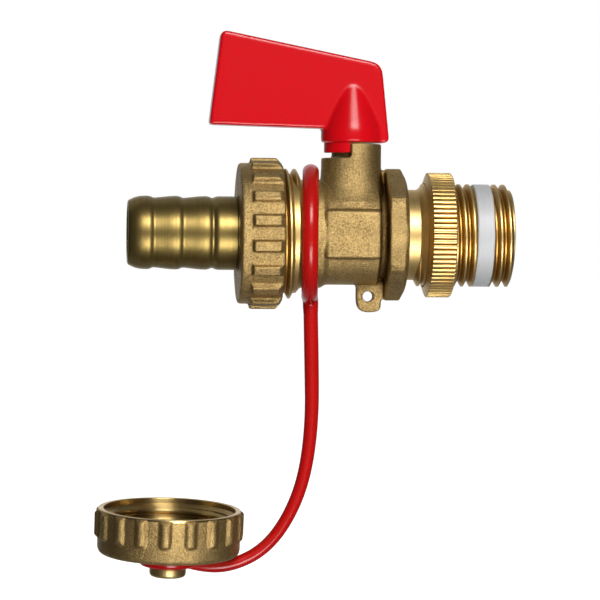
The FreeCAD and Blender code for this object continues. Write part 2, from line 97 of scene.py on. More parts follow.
# Places that the frame gives
STEM_X = joint_place("handle_turn").x
BODY_LEFT, BODY_RIGHT = span_x("valve_body")
NUT_LEFT, NUT_RIGHT = span_x("union_nut")
TAIL_LEFT, TAIL_RIGHT = span_x("hose_tail")
LOCK_LEFT, LOCK_RIGHT = span_x("lock_ring")
SEAL_LEFT, SEAL_RIGHT = span_x("thread_seal_ring")
RING_PLACE = on_joint("strap_swing", ALONG_X)
CAP_PLACE = on_joint("cap_spin", ALONG_Z)

# Radii of the two pipe threads over their crests and of the waterway, and where the ball's chamber
# begins
INLET_R = 10.4775
OUTLET_R = 13.2205
INLET_BORE_R = 6.0
OUTLET_BORE_R = 8.65
CHAMBER_R = 8.0
CHAMBER_LEFT = STEM_X - 7.6

# The strap's route in its own plane, from its ring to its eyelet, and its thickness along the way
STRAP_ROUTE = [
    (-34.6, -12.75), (-34.22, -25.6), (-34.0, -38.5), (-35.5, -50.1), (-39.1, -58.75),
    (-43.75, -64.45), (-49.55, -67.4), (-55.05, -68.0), (-58.85, -67.45)]
STRAP_SWELL = [1.1, 1.12, 1.05, 1.0, 0.98, 0.97, 0.96, 0.93, 0.6]


class DrainCockSizes(bpy.types.PropertyGroup):
    """Sizes of the dressed pieces that the solids leave plain."""

    thread_pitch: bpy.props.FloatProperty(
        name="Thread pitch", description="Distance from one thread crest to the next",
        default=1.814 * MM, unit="LENGTH")
    thread_depth: bpy.props.FloatProperty(
        name="Thread depth", description="Height of a thread ridge above its root",
        default=1.162 * MM, unit="LENGTH")
    thread_crest: bpy.props.FloatProperty(
        name="Thread crest", description="Width of a thread ridge at its crest",
        default=0.36 * MM, unit="LENGTH")
    forged_skin: bpy.props.FloatProperty(
        name="Forged skin", description="Mesh size of the forged and cast skins",
        default=0.22 * MM, unit="LENGTH")
    moulded_skin: bpy.props.FloatProperty(
        name="Moulded skin", description="Mesh size of the lever and of the strap's ring",
        default=0.24 * MM, unit="LENGTH")
    strap_thickness: bpy.props.FloatProperty(
        name="Strap thickness", description="Diameter of the cap's strap",
        default=2.7 * MM, unit="LENGTH")
    knurl_teeth: bpy.props.IntProperty(
        name="Knurl teeth", description="Teeth round the lock ring", default=75, min=12)
    grip_ribs: bpy.props.IntProperty(
        name="Grip ribs", description="Ribs round the union nut and round the cap",
        default=18, min=6)


class DrainCockColours(bpy.types.PropertyGroup):
    """Base colours of the finishes, as linear values."""

    forged_brass: bpy.props.FloatVectorProperty(
        name="Forged brass", description="Sand-blasted forgings", subtype="COLOR",
        default=(0.385, 0.263, 0.104))
    turned_brass: bpy.props.FloatVectorProperty(
        name="Turned brass", description="Bright turned threads and rings", subtype="COLOR",
        default=(0.67, 0.475, 0.19))
    tail_brass: bpy.props.FloatVectorProperty(
        name="Hose tail brass", description="Smooth polished hose tail", subtype="COLOR",
        default=(0.255, 0.181, 0.058))
    lever_red: bpy.props.FloatVectorProperty(
        name="Lever red", description="Glossy moulded lever", subtype="COLOR",
        default=(0.52, 0.002, 0.006))
    strap_red: bpy.props.FloatVectorProperty(
        name="Strap red", description="Soft moulded strap", subtype="COLOR",
        default=(0.405, 0.004, 0.003))
    seal_white: bpy.props.FloatVectorProperty(
        name="Seal white", description="White seal ring and ball seats", subtype="COLOR",
        default=(0.47, 0.475, 0.48))
    rubber_black: bpy.props.FloatVectorProperty(
        name="Rubber black", description="Washers and rings of rubber", subtype="COLOR",
        default=(0.022, 0.021, 0.020))
    ball_plate: bpy.props.FloatVectorProperty(
        name="Ball plating", description="Plated ball", subtype="COLOR",
        default=(0.66, 0.67, 0.69))
    floor: bpy.props.FloatVectorProperty(
        name="Floor", description="Pale studio floor", subtype="COLOR",
        default=(0.88, 0.88, 0.88))


class DrainCockStage(bpy.types.PropertyGroup):
    """The camera's place and the floor's."""

    turn: bpy.props.FloatProperty(
        name="Camera turn", description="Camera's angle round the part, to the left of its front",
        default=radians(-4.963), subtype="ANGLE")
    rise: bpy.props.FloatProperty(
        name="Camera rise", description="Camera's angle above the waterway",
        default=radians(1.10), subtype="ANGLE")
    roll: bpy.props.FloatProperty(
        name="Camera roll", description="Turn of the picture, clockwise",
        default=radians(0.5517), subtype="ANGLE")
    distance: bpy.props.FloatProperty(
        name="Camera distance", description="From the camera to the point it looks at",
        default=0.6281, unit="LENGTH")
    lens: bpy.props.FloatProperty(
        name="Camera lens", description="Focal length on a 36 mm sensor, in millimetres",
        default=185.19)
    aim_x: bpy.props.FloatProperty(
        name="Aim along the waterway", description="Point in the middle of the picture",
        default=-36.71 * MM, unit="LENGTH")
    aim_z: bpy.props.FloatProperty(
        name="Aim height", description="Point in the middle of the picture",
        default=-13.457 * MM, unit="LENGTH")
    floor_drop: bpy.props.FloatProperty(
        name="Floor below the part", description="Gap between the lowest piece and the floor",
        default=14 * MM, unit="LENGTH")


class DrainCockSettings(bpy.types.PropertyGroup):
    """All the settings of the drain cock."""

    sizes: bpy.props.PointerProperty(type=DrainCockSizes)
    colours: bpy.props.PointerProperty(type=DrainCockColours)
    stage: bpy.props.PointerProperty(type=DrainCockStage)


def settings():
    return bpy.context.scene.drain_cock


# Profiles and meshes, in millimetres

# The most of a side that a rounded corner takes, the gaps below which points and slivers are
# merged, and the angles from which edges stay sharp
CORNER_SHARE = 0.49
DOUBLED = 1e-5
SLIVER = 1e-6
SHARP_DEG = 38
CAST_SHARP_DEG = 60


def angles_round(count):
    return [tau * i / count for i in range(count)]


def rounded(points, steps=5):
    """A closed profile whose points with a third value have their corner rounded by that reach."""
    profile = []
    count = len(points)
    for i, point in enumerate(points):
        corner = Vector(point[:2])
        if len(point) == 2:
            profile.append(corner)
            continue
        before = Vector(points[i - 1][:2]) - corner
        after = Vector(points[(i + 1) % count][:2]) - corner
        start = corner + before.normalized() * min(point[2], before.length * CORNER_SHARE)
        end = corner + after.normalized() * min(point[2], after.length * CORNER_SHARE)
        for step in range(steps + 1):
            t = step / steps
            profile.append(start * (1 - t) ** 2 + corner * (2 * t * (1 - t)) + end * t**2)
    return profile


def lofted(rows, loop=False):
    """A closed mesh through rows of points; its last row joins the first, or both are filled."""
    bm = bmesh.new()
    rings = [[bm.verts.new(point) for point in row] for row in rows]
    count = len(rings[0])
    for here, there in zip(rings, rings[1:] + rings[:1] if loop else rings[1:]):
        for j in range(count):
            k = (j + 1) % count
            bm.faces.new((here[j], here[k], there[k], there[j]))
    if not loop:
        bm.faces.new(rings[0])
        bm.faces.new(list(reversed(rings[-1])))
    return closed(bm)


def turned(profile, along="X", centre=(0, 0, 0), segments=160):
    """A closed mesh turned from (place along the axis, radius) points."""
    rows = []
    for angle in angles_round(segments):
        c, s = cos(angle), sin(angle)
        row = [(a, r * s, r * c) if along == "X" else (r * c, r * s, a) for a, r in profile]
        rows.append([Vector(centre) + Vector(point) for point in row])
    return lofted(rows, loop=True)


def lathe(corners, *place, **values):
    """A closed mesh turned from corners, some with the reach of their rounding as a third value."""
    return turned(rounded(corners), *place, **values)


def closed(bm):
    """Merge doubled points, drop the slivers that leaves and turn every face outwards."""
    bmesh.ops.remove_doubles(bm, verts=bm.verts, dist=DOUBLED)
    bmesh.ops.dissolve_degenerate(bm, edges=bm.edges, dist=SLIVER)
    bmesh.ops.recalc_face_normals(bm, faces=bm.faces)
    return bm


def prism(outline, depth):
    """A closed mesh from an outline in the XZ plane, as deep as depth on both sides of it."""
    return lofted([[(x, y, z) for x, z in outline] for y in (-depth, depth)])


def block(low, high):
    """A closed box between two corners."""
    return lofted([
        [(x, y, z) for y, z in (
            (low[1], low[2]), (high[1], low[2]), (high[1], high[2]), (low[1], high[2]))]
        for x in (low[0], high[0])])


def stored(name, bm):
    """A new mesh from one that is used up."""
    mesh = bpy.data.meshes.new(name)
    bm.to_mesh(mesh)
    bm.free()
    return mesh


def new_object(name, data):
    made = bpy.data.objects.new(name, data)
    bpy.context.scene.collection.objects.link(made)
    return made


def evaluated_mesh(piece):
    """A new mesh of what a piece's modifiers make."""
    bpy.context.view_layer.update()
    graph = bpy.context.evaluated_depsgraph_get()
    return bpy.data.meshes.new_from_object(piece.evaluated_get(graph))


def joined(parts):
    """One mesh of several, which are used up."""
    whole = bmesh.new()
    for part in parts:
        mesh = stored("part", part)
        whole.from_mesh(mesh)
        bpy.data.meshes.remove(mesh)
    return whole


def dress(mesh, name, material, sharp_deg):
    """Name a mesh, smooth it apart from its sharp edges and give it its one material."""
    mesh.name = name
    mesh.shade_smooth()
    mesh.set_sharp_from_angle(angle=radians(sharp_deg))
    mesh.materials.clear()
    mesh.materials.append(material)


def new_piece(name, bm, material, place=None, sharp_deg=SHARP_DEG):
    """An object in metres from a mesh in millimetres."""
    if place is not None:
        bm.transform(place)
    bm.transform(TO_METRES)
    mesh = stored(name, bm)
    dress(mesh, name, material, sharp_deg)
    return new_object(name, mesh)


def add_to(piece, bm):
    """Put a mesh in millimetres into a piece's own mesh."""
    bm.transform(TO_METRES)
    bm.from_mesh(piece.data)
    bm.to_mesh(piece.data)
    bm.free()


def bake_modifiers(piece, sharp_deg=SHARP_DEG):
    """Put what the modifiers make into the piece's own mesh, and take them off."""
    mesh = evaluated_mesh(piece)
    piece.modifiers.clear()
    old = piece.data
    material = old.materials[0]
    piece.data = mesh
    bpy.data.meshes.remove(old)
    dress(mesh, piece.name, material, sharp_deg)


def cast_skin(piece, skin, rounds):
    """Melt a piece's overlapping solids into one skin and soften its edges, as in a forging."""
    melt = piece.modifiers.new("Skin", "REMESH")
    melt.mode = "VOXEL"
    melt.voxel_size = skin
    soften = piece.modifiers.new("Soften", "SMOOTH")
    soften.factor = 0.5
    soften.iterations = rounds
    bake_modifiers(piece, CAST_SHARP_DEG)


# Node trees

# Node groups by the functions that make them, and finishes by their names
MADE = {}

# A thread ridge's steps in a turn, and as shares of its pitch, depth, crest and size, the width of
# its foot, how far that is sunk, the rounding of its crest and what is left at its faded ends
THREAD_STEPS = 96
THREAD_FOOT = 0.97
THREAD_SUNK = 0.12
THREAD_ROUNDING = 0.3
THREAD_FADED = 0.05


def made_once(key, make):
    """What make gives, made on the key's first use."""
    if key not in MADE:
        MADE[key] = make()
    return MADE[key]


class Sketch:
    """Adds nodes to a tree and joins them by socket."""

    def __init__(self, tree):
        self.tree = tree

    def add(self, kind, inputs=None, **values):
        node = self.tree.nodes.new(kind)
        for name, value in values.items():
            setattr(node, name, value)
        for name, value in (inputs or {}).items():
            if isinstance(value, bpy.types.NodeSocket):
                self.tree.links.new(value, node.inputs[name])
            else:
                node.inputs[name].default_value = value
        return node

    def out(self, kind, inputs=None, **values):
        return self.add(kind, inputs, **values).outputs[0]

    def math(self, operation, a, b=0.0):
        return self.out("ShaderNodeMath", {0: a, 1: b}, operation=operation)

    def ease(self, value, start, end, low, high):
        return self.out("ShaderNodeMapRange", {
            "Value": value, "From Min": start, "From Max": end, "To Min": low, "To Max": high},
            interpolation_type="SMOOTHSTEP")


def new_tree(name, sockets):
    """An empty geometry tree with a mesh result and named inputs."""
    tree = bpy.data.node_groups.new(name, "GeometryNodeTree")
    tree.interface.new_socket("Geometry", in_out="OUTPUT", socket_type="NodeSocketGeometry")
    for label, kind in sockets:
        tree.interface.new_socket(label, in_out="INPUT", socket_type="NodeSocket" + kind)
    return tree


def finish_tree(sketch, geometry, material):
    """End a tree in plain geometry with its material."""
    real = sketch.out("GeometryNodeRealizeInstances", {0: geometry})
    dressed = sketch.out("GeometryNodeSetMaterial", {"Geometry": real, "Material": material})
    sketch.add("NodeGroupOutput", {0: dressed})
    return sketch.tree


def spaced_round_tree():
    """Copies of the incoming mesh, evenly spaced round an axis through the origin."""
    tree = new_tree("Spaced round an axis", [
        ("Geometry", "Geometry"), ("Count", "Int"), ("Axis", "Vector"), ("First turn", "Float"),
        ("Material", "Material")])
    sketch = Sketch(tree)
    given = sketch.add("NodeGroupInput").outputs
    index = sketch.out("GeometryNodeInputIndex")
    step = sketch.math("DIVIDE", tau, given["Count"])
    angle = sketch.math("ADD", sketch.math("MULTIPLY", index, step), given["First turn"])
    turn = sketch.out("FunctionNodeAxisAngleToRotation", {"Axis": given["Axis"], "Angle": angle})
    points = sketch.out("GeometryNodePoints", {"Count": given["Count"]})
    copies = sketch.out("GeometryNodeInstanceOnPoints", {
        "Points": points, "Instance": given["Geometry"], "Rotation": turn})
    return finish_tree(sketch, copies, given["Material"])


def thread_tree():
    """A helical thread ridge along +X from the origin, fading out at both its ends."""
    tree = new_tree("Thread ridge", [
        ("Root radius", "Float"), ("Length", "Float"), ("Pitch", "Float"), ("Foot", "Float"),
        ("Crest", "Float"), ("Depth", "Float"), ("Fade", "Float"), ("First turn", "Float"),
        ("Material", "Material")])
    sketch = Sketch(tree)
    given = sketch.add("NodeGroupInput").outputs
    helix = sketch.out("GeometryNodeCurveSpiral", {
        "Resolution": THREAD_STEPS,
        "Rotations": sketch.math("DIVIDE", given["Length"], given["Pitch"]),
        "Start Radius": given["Root radius"], "End Radius": given["Root radius"],
        "Height": given["Length"], "Reverse": True})
    upright = sketch.out("GeometryNodeSetCurveNormal", {"Curve": helix}, mode="Z_UP")
    along = sketch.add("GeometryNodeSplineParameter").outputs["Length"]
    whole = sketch.out("GeometryNodeSplineLength")
    nearest_end = sketch.math("MINIMUM", along, sketch.math("SUBTRACT", whole, along))
    share = sketch.ease(nearest_end, 0.0, given["Fade"], THREAD_FADED, 1.0)
    half_foot = sketch.math("MULTIPLY", given["Foot"], 0.5)
    half_crest = sketch.math("MULTIPLY", given["Crest"], 0.5)
    sunk = sketch.math("MULTIPLY", given["Depth"], -THREAD_SUNK)
    corners = {}
    for number, (out, side, sign) in enumerate((
        (sunk, half_foot, -1), (given["Depth"], half_crest, -1),
        (given["Depth"], half_crest, 1), (sunk, half_foot, 1),
    ), 1):
        corners["Point %d" % number] = sketch.out("ShaderNodeCombineXYZ", {
            "X": out, "Y": sketch.math("MULTIPLY", side, sign)})
    form = sketch.out("GeometryNodeCurvePrimitiveQuadrilateral", corners, mode="POINTS")
    soft = sketch.out("GeometryNodeFilletCurve", {
        "Curve": form, "Count": 2, "Limit Radius": True,
        "Radius": sketch.math("MULTIPLY", given["Crest"], THREAD_ROUNDING)}, mode="POLY")
    ridge = sketch.out("GeometryNodeCurveToMesh", {
        "Curve": upright, "Profile Curve": soft, "Scale": share, "Fill Caps": True})
    first = sketch.out("ShaderNodeCombineXYZ", {"Z": given["First turn"]})
    for turn in (first, (0, pi / 2, 0)):
        ridge = sketch.out("GeometryNodeTransform", {"Geometry": ridge, "Rotation": turn})
    return finish_tree(sketch, ridge, given["Material"])


def grown(bm, tree_maker, inputs, material):
    """The mesh that a tree makes from a mesh in millimetres, in millimetres too."""
    mesh = stored("seed", bm)
    seed = new_object("seed", mesh)
    tree = made_once(tree_maker, tree_maker)
    growth = seed.modifiers.new("Growth", "NODES")
    growth.node_group = tree
    sockets = {
        item.name: item.identifier
        for item in tree.interface.items_tree if item.in_out == "INPUT"}
    for label, value in {**inputs, "Material": material}.items():
        growth[sockets[label]] = value
    result = evaluated_mesh(seed)
    made = bmesh.new()
    made.from_mesh(result)
    bpy.data.objects.remove(seed)
    bpy.data.meshes.remove(mesh)
    bpy.data.meshes.remove(result)
    bmesh.ops.recalc_face_normals(made, faces=made.faces)
    return made


def spaced_round(bm, count, axis, first_turn, material):
    return grown(bm, spaced_round_tree, {
        "Count": count, "Axis": axis, "First turn": first_turn}, material)


def thread_ridge(root_r, start, end, top_crest, material, depth=None, fade=4.0):
    """A right-hand ridge on a core of root_r from start to end.

    One of its crests is at top_crest at the top, and it fades over fade millimetres of its helix.
    """
    sizes = settings().sizes
    pitch = sizes.thread_pitch / MM
    ridge = grown(bmesh.new(), thread_tree, {
        "Root radius": root_r,
        "Length": end - start,
        "Pitch": pitch,
        "Foot": pitch * THREAD_FOOT,
        "Crest": sizes.thread_crest / MM,
        "Depth": sizes.thread_depth / MM if depth is None else depth,
        "Fade": fade,
        "First turn": pi + tau * (start - top_crest) / pitch,
    }, material)
    ridge.transform(Matrix.Translation((start, 0, 0)))
    return ridge


# Finishes

# How far the painted crevice shade looks for nearby surfaces in millimetres, in how many tries, and
# the span of that painted shading
CREVICE_SHADE_REACH = 2.0
CREVICE_SHADE_TRIES = 6
CREVICE_SHADE_SPAN = (0.45, 0.92)


def pattern_group(name, fine, broad, squeeze=None):
    """A shared pattern of fine noise over broad noise: a height for bump and a shade for colour.

    fine and broad hold a noise's detail, its roughness and its share of the shade, and squeeze
    scales the coordinates of the fine noise.
    """
    group = bpy.data.node_groups.new(name, "ShaderNodeTree")
    for label, kind in (("Coordinates", "Vector"), ("Fine", "Float"), ("Broad", "Float")):
        group.interface.new_socket(label, in_out="INPUT", socket_type="NodeSocket" + kind)
    for label in ("Height", "Shade"):
        group.interface.new_socket(label, in_out="OUTPUT", socket_type="NodeSocketFloat")
    sketch = Sketch(group)
    given = sketch.add("NodeGroupInput").outputs
    broad_spot = fine_spot = given["Coordinates"]
    if squeeze:
        fine_spot = sketch.out(
            "ShaderNodeVectorMath", {0: broad_spot, 1: squeeze}, operation="MULTIPLY")
    noises, shares = [], []
    for label, spot, (detail, roughness, share) in (
        ("Fine", fine_spot, fine), ("Broad", broad_spot, broad),
    ):
        noises.append(sketch.out("ShaderNodeTexNoise", {
            "Vector": spot, "Scale": given[label], "Detail": detail, "Roughness": roughness}))
        shares.append(sketch.math("MULTIPLY", noises[-1], share))
    sketch.add("NodeGroupOutput", {"Height": noises[0], "Shade": sketch.math("ADD", *shares)})
    return group


def grain_group():
    """Fine blasted grain over cloudy shade."""
    return pattern_group("Blasted grain", (3.0, 0.6, 0.64), (4.0, 0.65, 0.36))


def turning_group():
    """Fine rings of a lathe tool over smudges; the tool's place along the axis is read as X."""
    return pattern_group("Turning marks", (2.0, 0.5, 0.5), (3.0, 0.6, 0.5), (1.0, 0.02, 0.02))


# Each finish, by its colour in the settings unless another is given: its pattern with the scales
# of its fine and broad noise, then from the dark to the light end of the shade's span the tint of
# its colour and its roughness. bump is a strength and a height in millimetres, the crevice entry
# the tint of the painted shade in its corners and creases, upright turns the lathe's marks round
# Z, and what has a capital goes to the shader.
FINISHES = {
    "forged_brass": dict(
        name="Forged brass", pattern=grain_group, scales=(3000.0, 190.0), tint=(0.58, 1.54),
        roughness=(0.58, 0.42), bump=(1.0, 0.16), span=(0.36, 0.64), crevice=(0.2, 0.14, 0.07),
        Metallic=1.0),
    "turned_brass": dict(
        name="Turned brass", pattern=turning_group, scales=(5200.0, 260.0), tint=(0.8, 1.12),
        roughness=(0.46, 0.37), bump=(0.16, 0.05), crevice=(0.6, 0.45, 0.17), Metallic=1.0),
    "lining_brass": dict(
        name="Cap lining brass", colour="turned_brass", pattern=turning_group,
        scales=(5200.0, 260.0), tint=(0.78, 1.14), roughness=(0.36, 0.28), bump=(0.12, 0.04),
        crevice=(0.38, 0.27, 0.1), upright=True, Metallic=1.0, Anisotropic=0.9,
        Anisotropic_Rotation=0.25),
    "tail_brass": dict(
        name="Hose tail brass", pattern=turning_group, scales=(3000.0, 190.0), tint=(0.82, 1.15),
        roughness=(0.42, 0.33), bump=(0.10, 0.05), crevice=(0.5, 0.38, 0.2), Metallic=1.0),
    "lever_red": dict(
        name="Lever red", pattern=grain_group, scales=(900.0, 90.0), tint=(0.95, 1.04),
        roughness=(0.25, 0.20), bump=(0.04, 0.05), Specular_IOR_Level=0.3),
    "strap_red": dict(
        name="Strap red", pattern=grain_group, scales=(1500.0, 120.0), tint=(0.92, 1.06),
        roughness=(0.27, 0.2), bump=(0.05, 0.05), Specular_IOR_Level=0.36),
    "seal_white": dict(
        name="Seal white", pattern=turning_group, scales=(2600.0, 200.0), tint=(0.95, 1.04),
        roughness=(0.50, 0.40), bump=(0.06, 0.05), Subsurface_Weight=0.08, Subsurface_Scale=0.001),
    "rubber_black": dict(
        name="Rubber black", pattern=grain_group, scales=(2200.0, 160.0), tint=(0.8, 1.3),
        roughness=(0.72, 0.58), bump=(0.15, 0.05)),
    "ball_plate": dict(
        name="Ball plating", pattern=grain_group, scales=(1200.0, 140.0), tint=(0.95, 1.05),
        roughness=(0.16, 0.10), bump=(0.03, 0.03), Metallic=1.0),
}


def finish(name):
    """The named finish, made on its first use."""
    return made_once(name, lambda: finish_material(**{"colour": name, **FINISHES[name]}))


def tinted(colour, factor):
    return tuple(min(1.0, channel * factor) for channel in colour) + (1.0,)


def colour_ramp(sketch, value, span, colours, interpolation="LINEAR"):
    """Two colours at the ends of a span of a value."""
    node = sketch.add("ShaderNodeValToRGB", {"Fac": value})
    node.color_ramp.interpolation = interpolation
    for element, position, colour in zip(node.color_ramp.elements, span, colours):
        element.position = position
        element.color = colour
    return node.outputs[0]


def finish_material(
        name, colour, pattern, scales, tint, roughness, bump, span=(0.3, 0.7), crevice=None,
        upright=False, **shader):
    """A material whose colour, roughness and bump follow a shared pattern, with painted shade
    darkening its colour in corners and creases when a crevice tint is given.
    """
    material = bpy.data.materials.new(name)
    material.use_nodes = True
    material.node_tree.nodes.clear()
    sketch = Sketch(material.node_tree)
    spot = sketch.add("ShaderNodeTexCoord").outputs["Object"]
    if upright:
        along = sketch.add("ShaderNodeSeparateXYZ", {"Vector": spot}).outputs
        spot = sketch.out("ShaderNodeCombineXYZ", {
            "X": along["Z"], "Y": along["Y"], "Z": along["X"]})
    drawn = sketch.add(
        "ShaderNodeGroup", {"Coordinates": spot, "Fine": scales[0], "Broad": scales[1]},
        node_tree=made_once(pattern, pattern)).outputs
    linear = getattr(settings().colours, colour)
    base = colour_ramp(sketch, drawn["Shade"], span, [tinted(linear, factor) for factor in tint])
    # Painted shade: ambient occlusion darkens the base colour towards the crevice tint in corners,
    # creases and recesses
    if crevice:
        openness = sketch.add(
            "ShaderNodeAmbientOcclusion", {"Distance": CREVICE_SHADE_REACH * MM}, only_local=True,
            samples=CREVICE_SHADE_TRIES).outputs["AO"]
        depth = colour_ramp(sketch, openness, CREVICE_SHADE_SPAN, [tinted(crevice, 1.0), WHITE], "EASE")
        base = sketch.out("ShaderNodeVectorMath", {0: base, 1: depth}, operation="MULTIPLY")
    rough = sketch.out("ShaderNodeMapRange", {
        "Value": drawn["Shade"], "From Min": span[0], "From Max": span[1],
        "To Min": roughness[0], "To Max": roughness[1]})
    relief = sketch.out("ShaderNodeBump", {
        "Height": drawn["Height"], "Strength": bump[0], "Distance": bump[1] * MM})
    bsdf = sketch.add("ShaderNodeBsdfPrincipled", {
        "Base Color": base, "Roughness": rough, "Normal": relief})
    for label, value in shader.items():
        bsdf.inputs[label.replace("_", " ")].default_value = value
    if upright:
        groove = sketch.out("ShaderNodeTangent", direction_type="RADIAL", axis="Z")
        sketch.tree.links.new(groove, bsdf.inputs["Tangent"])
    sketch.add("ShaderNodeOutputMaterial", {"Surface": bsdf.outputs[0]})
    return material


# Forged body

BODY_ROUNDS = 8
NECK_R = 11.0
NECK_RIGHT = -32.70
COLLAR_LEFT = -35.2
BARREL_R = 10.3
GROOVE_R = 8.9
GROOVE_WIDTH = 1.5
HEX_LEFT = -19.70
HEX_RIGHT = -15.65
HEX_FLAT = 12.0
HEX_CORNER_R = 13.42
HEX_CHAMFER = 0.85
HEX_STEPS = 240
HEX_LAP = 1.5
TOWER_FOOT_Z = 5.6
TOWER_R = 6.1
TOWER_FLARE = [
    (TOWER_FOOT_Z, 8.6), (6.4, 8.6), (7.4, 7.9), (8.6, 7.25), (9.8, 6.75), (11.0, 6.4), (12.2, 6.2)]
LEDGE_Z = 15.5
TOWER_TOP_Z = 18.4
STOP_ANGLES = (-96, 89)
SLEEVE_R = 4.0
STEM_HOLE_R = 3.05
PAD_HALF = (5.3, 4.9)
PAD_MORE_LEFT = 0.8
PAD_RIM = 0.8
PAD_FACE = 11.1
WEB_HALF = 1.6
EYE_X = STEM_X + 3.6
EYE_Z = -12.6
EYE_HOLE_R = 1.06
EYE_HALF_THICKNESS = 1.25
EYE_STEPS = 120


def barrel():
    return lathe([
        (COLLAR_LEFT, CHAMBER_R), (COLLAR_LEFT, NECK_R), (NECK_RIGHT, NECK_R, 0.3),
        (NECK_RIGHT + 0.9, BARREL_R, 0.5), (HEX_LEFT - GROOVE_WIDTH - 0.15, BARREL_R, 0.2),
        (HEX_LEFT - GROOVE_WIDTH, GROOVE_R, 0.1), (HEX_LEFT, GROOVE_R, 1.2),
        (HEX_LEFT + 0.1, HEX_FLAT), (HEX_LEFT + HEX_LAP, HEX_FLAT - 0.5),
        (HEX_LEFT + HEX_LAP, CHAMBER_R)])


def hexagon():
    """The spanner hexagon, with flats to the front and back and its corners turned off."""
    rows = []
    for x, turned_r in (
        (HEX_LEFT, HEX_CORNER_R - 0.25), (HEX_LEFT + 0.25, HEX_CORNER_R),
        (HEX_RIGHT - HEX_CHAMFER, HEX_CORNER_R), (HEX_RIGHT, HEX_FLAT - 0.3),
        (HEX_RIGHT, CHAMBER_R), (HEX_LEFT, CHAMBER_R),
    ):
        row = []
        for angle in angles_round(HEX_STEPS):
            from_flat = (angle % (pi / 3)) - pi / 6
            r = min(turned_r, HEX_FLAT / cos(from_flat))
            row.append((x, r * sin(angle), r * cos(angle)))
        rows.append(row)
    return lofted(rows, loop=True)


def tower():
    """The stem's tower, flared into the barrel and trimmed where the strap's neck begins."""
    bm = turned(TOWER_FLARE + [
        (13.4, TOWER_R), (LEDGE_Z, TOWER_R), (LEDGE_Z, STEM_HOLE_R), (TOWER_FOOT_Z, STEM_HOLE_R)],
        "Z", (STEM_X, 0, 0))
    for vert in bm.verts:
        vert.co.x = max(vert.co.x, NECK_RIGHT)
    return bm


def sleeve():
    """The wall round the stem's hole, as high as the raised half of the rim."""
    return lathe([
        (LEDGE_Z - 1, STEM_HOLE_R), (LEDGE_Z - 1, SLEEVE_R), (TOWER_TOP_Z, SLEEVE_R, 0.2),
        (TOWER_TOP_Z, STEM_HOLE_R)], "Z", (STEM_X, 0, 0), 96)


def ring_sector(r_in, r_out, z0, z1, angles, steps=48):
    """A closed sector of a ring round the stem, between two angles from +X in degrees."""
    rows = []
    for i in range(steps + 1):
        angle = radians(angles[0] + (angles[1] - angles[0]) * i / steps)
        c, s = cos(angle), sin(angle)
        rows.append([
            (STEM_X + r * c, r * s, z)
            for r, z in ((r_in, z0), (r_out, z0), (r_out, z1), (r_in, z1))])
    return lofted(rows)


def stop_sector():
    """The raised right half of the tower's rim."""
    return ring_sector(SLEEVE_R - 0.2, TOWER_R, LEDGE_Z - 1, TOWER_TOP_Z, STOP_ANGLES)


def pads():
    """The raised pads on the front and back of the barrel, with their rims rounded."""
    made = []
    half_x, half_z = PAD_HALF
    for side in (-1, 1):
        near, far = sorted((side * (CHAMBER_R + 0.6), side * PAD_FACE))
        pad = block(
            (STEM_X - half_x - PAD_MORE_LEFT, near, -half_z), (STEM_X + half_x, far, half_z))
        bmesh.ops.bevel(
            pad, geom=list(pad.edges), offset=PAD_RIM, segments=4, profile=0.5, affect="EDGES")
        made.append(pad)
    return made


def web():
    """The metal that fills the corner between the tower and the hexagon."""
    return block(
        (STEM_X + 4.6, -WEB_HALF, BARREL_R - 1.0), (HEX_LEFT + 0.5, WEB_HALF, HEX_CORNER_R - 0.4))


def seal_eye():
    """The flat ear under the body, with a hole for a seal wire, that meets the hexagon."""
    outline = rounded([
        (EYE_X - 2.35, EYE_Z + 3.2), (EYE_X - 2.35, EYE_Z - 3.25, 2.6),
        (EYE_X + 2.7, EYE_Z - 3.25, 2.4), (EYE_X + 2.7, EYE_Z - 0.7, 0.4),
        (HEX_LEFT + 0.4, EYE_Z - 0.2), (HEX_LEFT + 0.4, EYE_Z + 3.2)], 10)
    hole = Vector((EYE_X, EYE_Z))
    rim, edge = [], []
    for angle in angles_round(EYE_STEPS):
        way = Vector((cos(angle), sin(angle)))
        rim.append(hole + way * EYE_HOLE_R)
        edge.append(hole + way * reach_to(outline, hole, way))
    return lofted([
        [(point.x, side * EYE_HALF_THICKNESS, point.y) for point in points]
        for side, points in ((-1, rim), (-1, edge), (1, edge), (1, rim))], loop=True)


def reach_to(outline, start, way, nearly=1e-9):
    """How far an outline is from a point inside it, in one direction."""
    for here, there in zip(outline, outline[1:] + outline[:1]):
        side = there - here
        cross = way.x * side.y - way.y * side.x
        if abs(cross) < nearly:
            continue
        gap = here - start
        reach = (gap.x * side.y - gap.y * side.x) / cross
        share = (gap.x * way.y - gap.y * way.x) / cross
        if reach > 0 and -nearly <= share <= 1 + nearly:
            return reach
    raise ValueError("the outline does not go round the point")


def build_forging():
    bm = joined(
        [barrel(), hexagon(), tower(), sleeve(), stop_sector(), seal_eye(), web()] + pads())
    piece = new_piece("body_forging", bm, finish("forged_brass"))
    cast_skin(piece, settings().sizes.forged_skin, BODY_ROUNDS)
    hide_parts("valve_body")
    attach(piece, "valve")


# Turned ends of the body

THREAD_SHARP_DEG = 25
INLET_NECK_R = 9.2
INLET_RUNOUT = -13.15
INLET_FADE = 7.0
INLET_TOP_CREST = -4.56
SEAL_GROOVE = 1.75
SEAL_GROOVE_R = 8.88
OUTLET_CREST = -37.9
OUTLET_TOP_CREST = -40.03


def cut_square(bm, x, side):
    """A mesh cut off square at x, without the part on that side."""
    cut = bmesh.ops.bisect_plane(
        bm, geom=bm.verts[:] + bm.edges[:] + bm.faces[:], plane_co=(x, 0, 0),
        plane_no=(side, 0, 0), clear_outer=True)
    rim = [item for item in cut["geom_cut"] if isinstance(item, bmesh.types.BMEdge)]
    bmesh.ops.holes_fill(bm, edges=rim)
    return closed(bm)


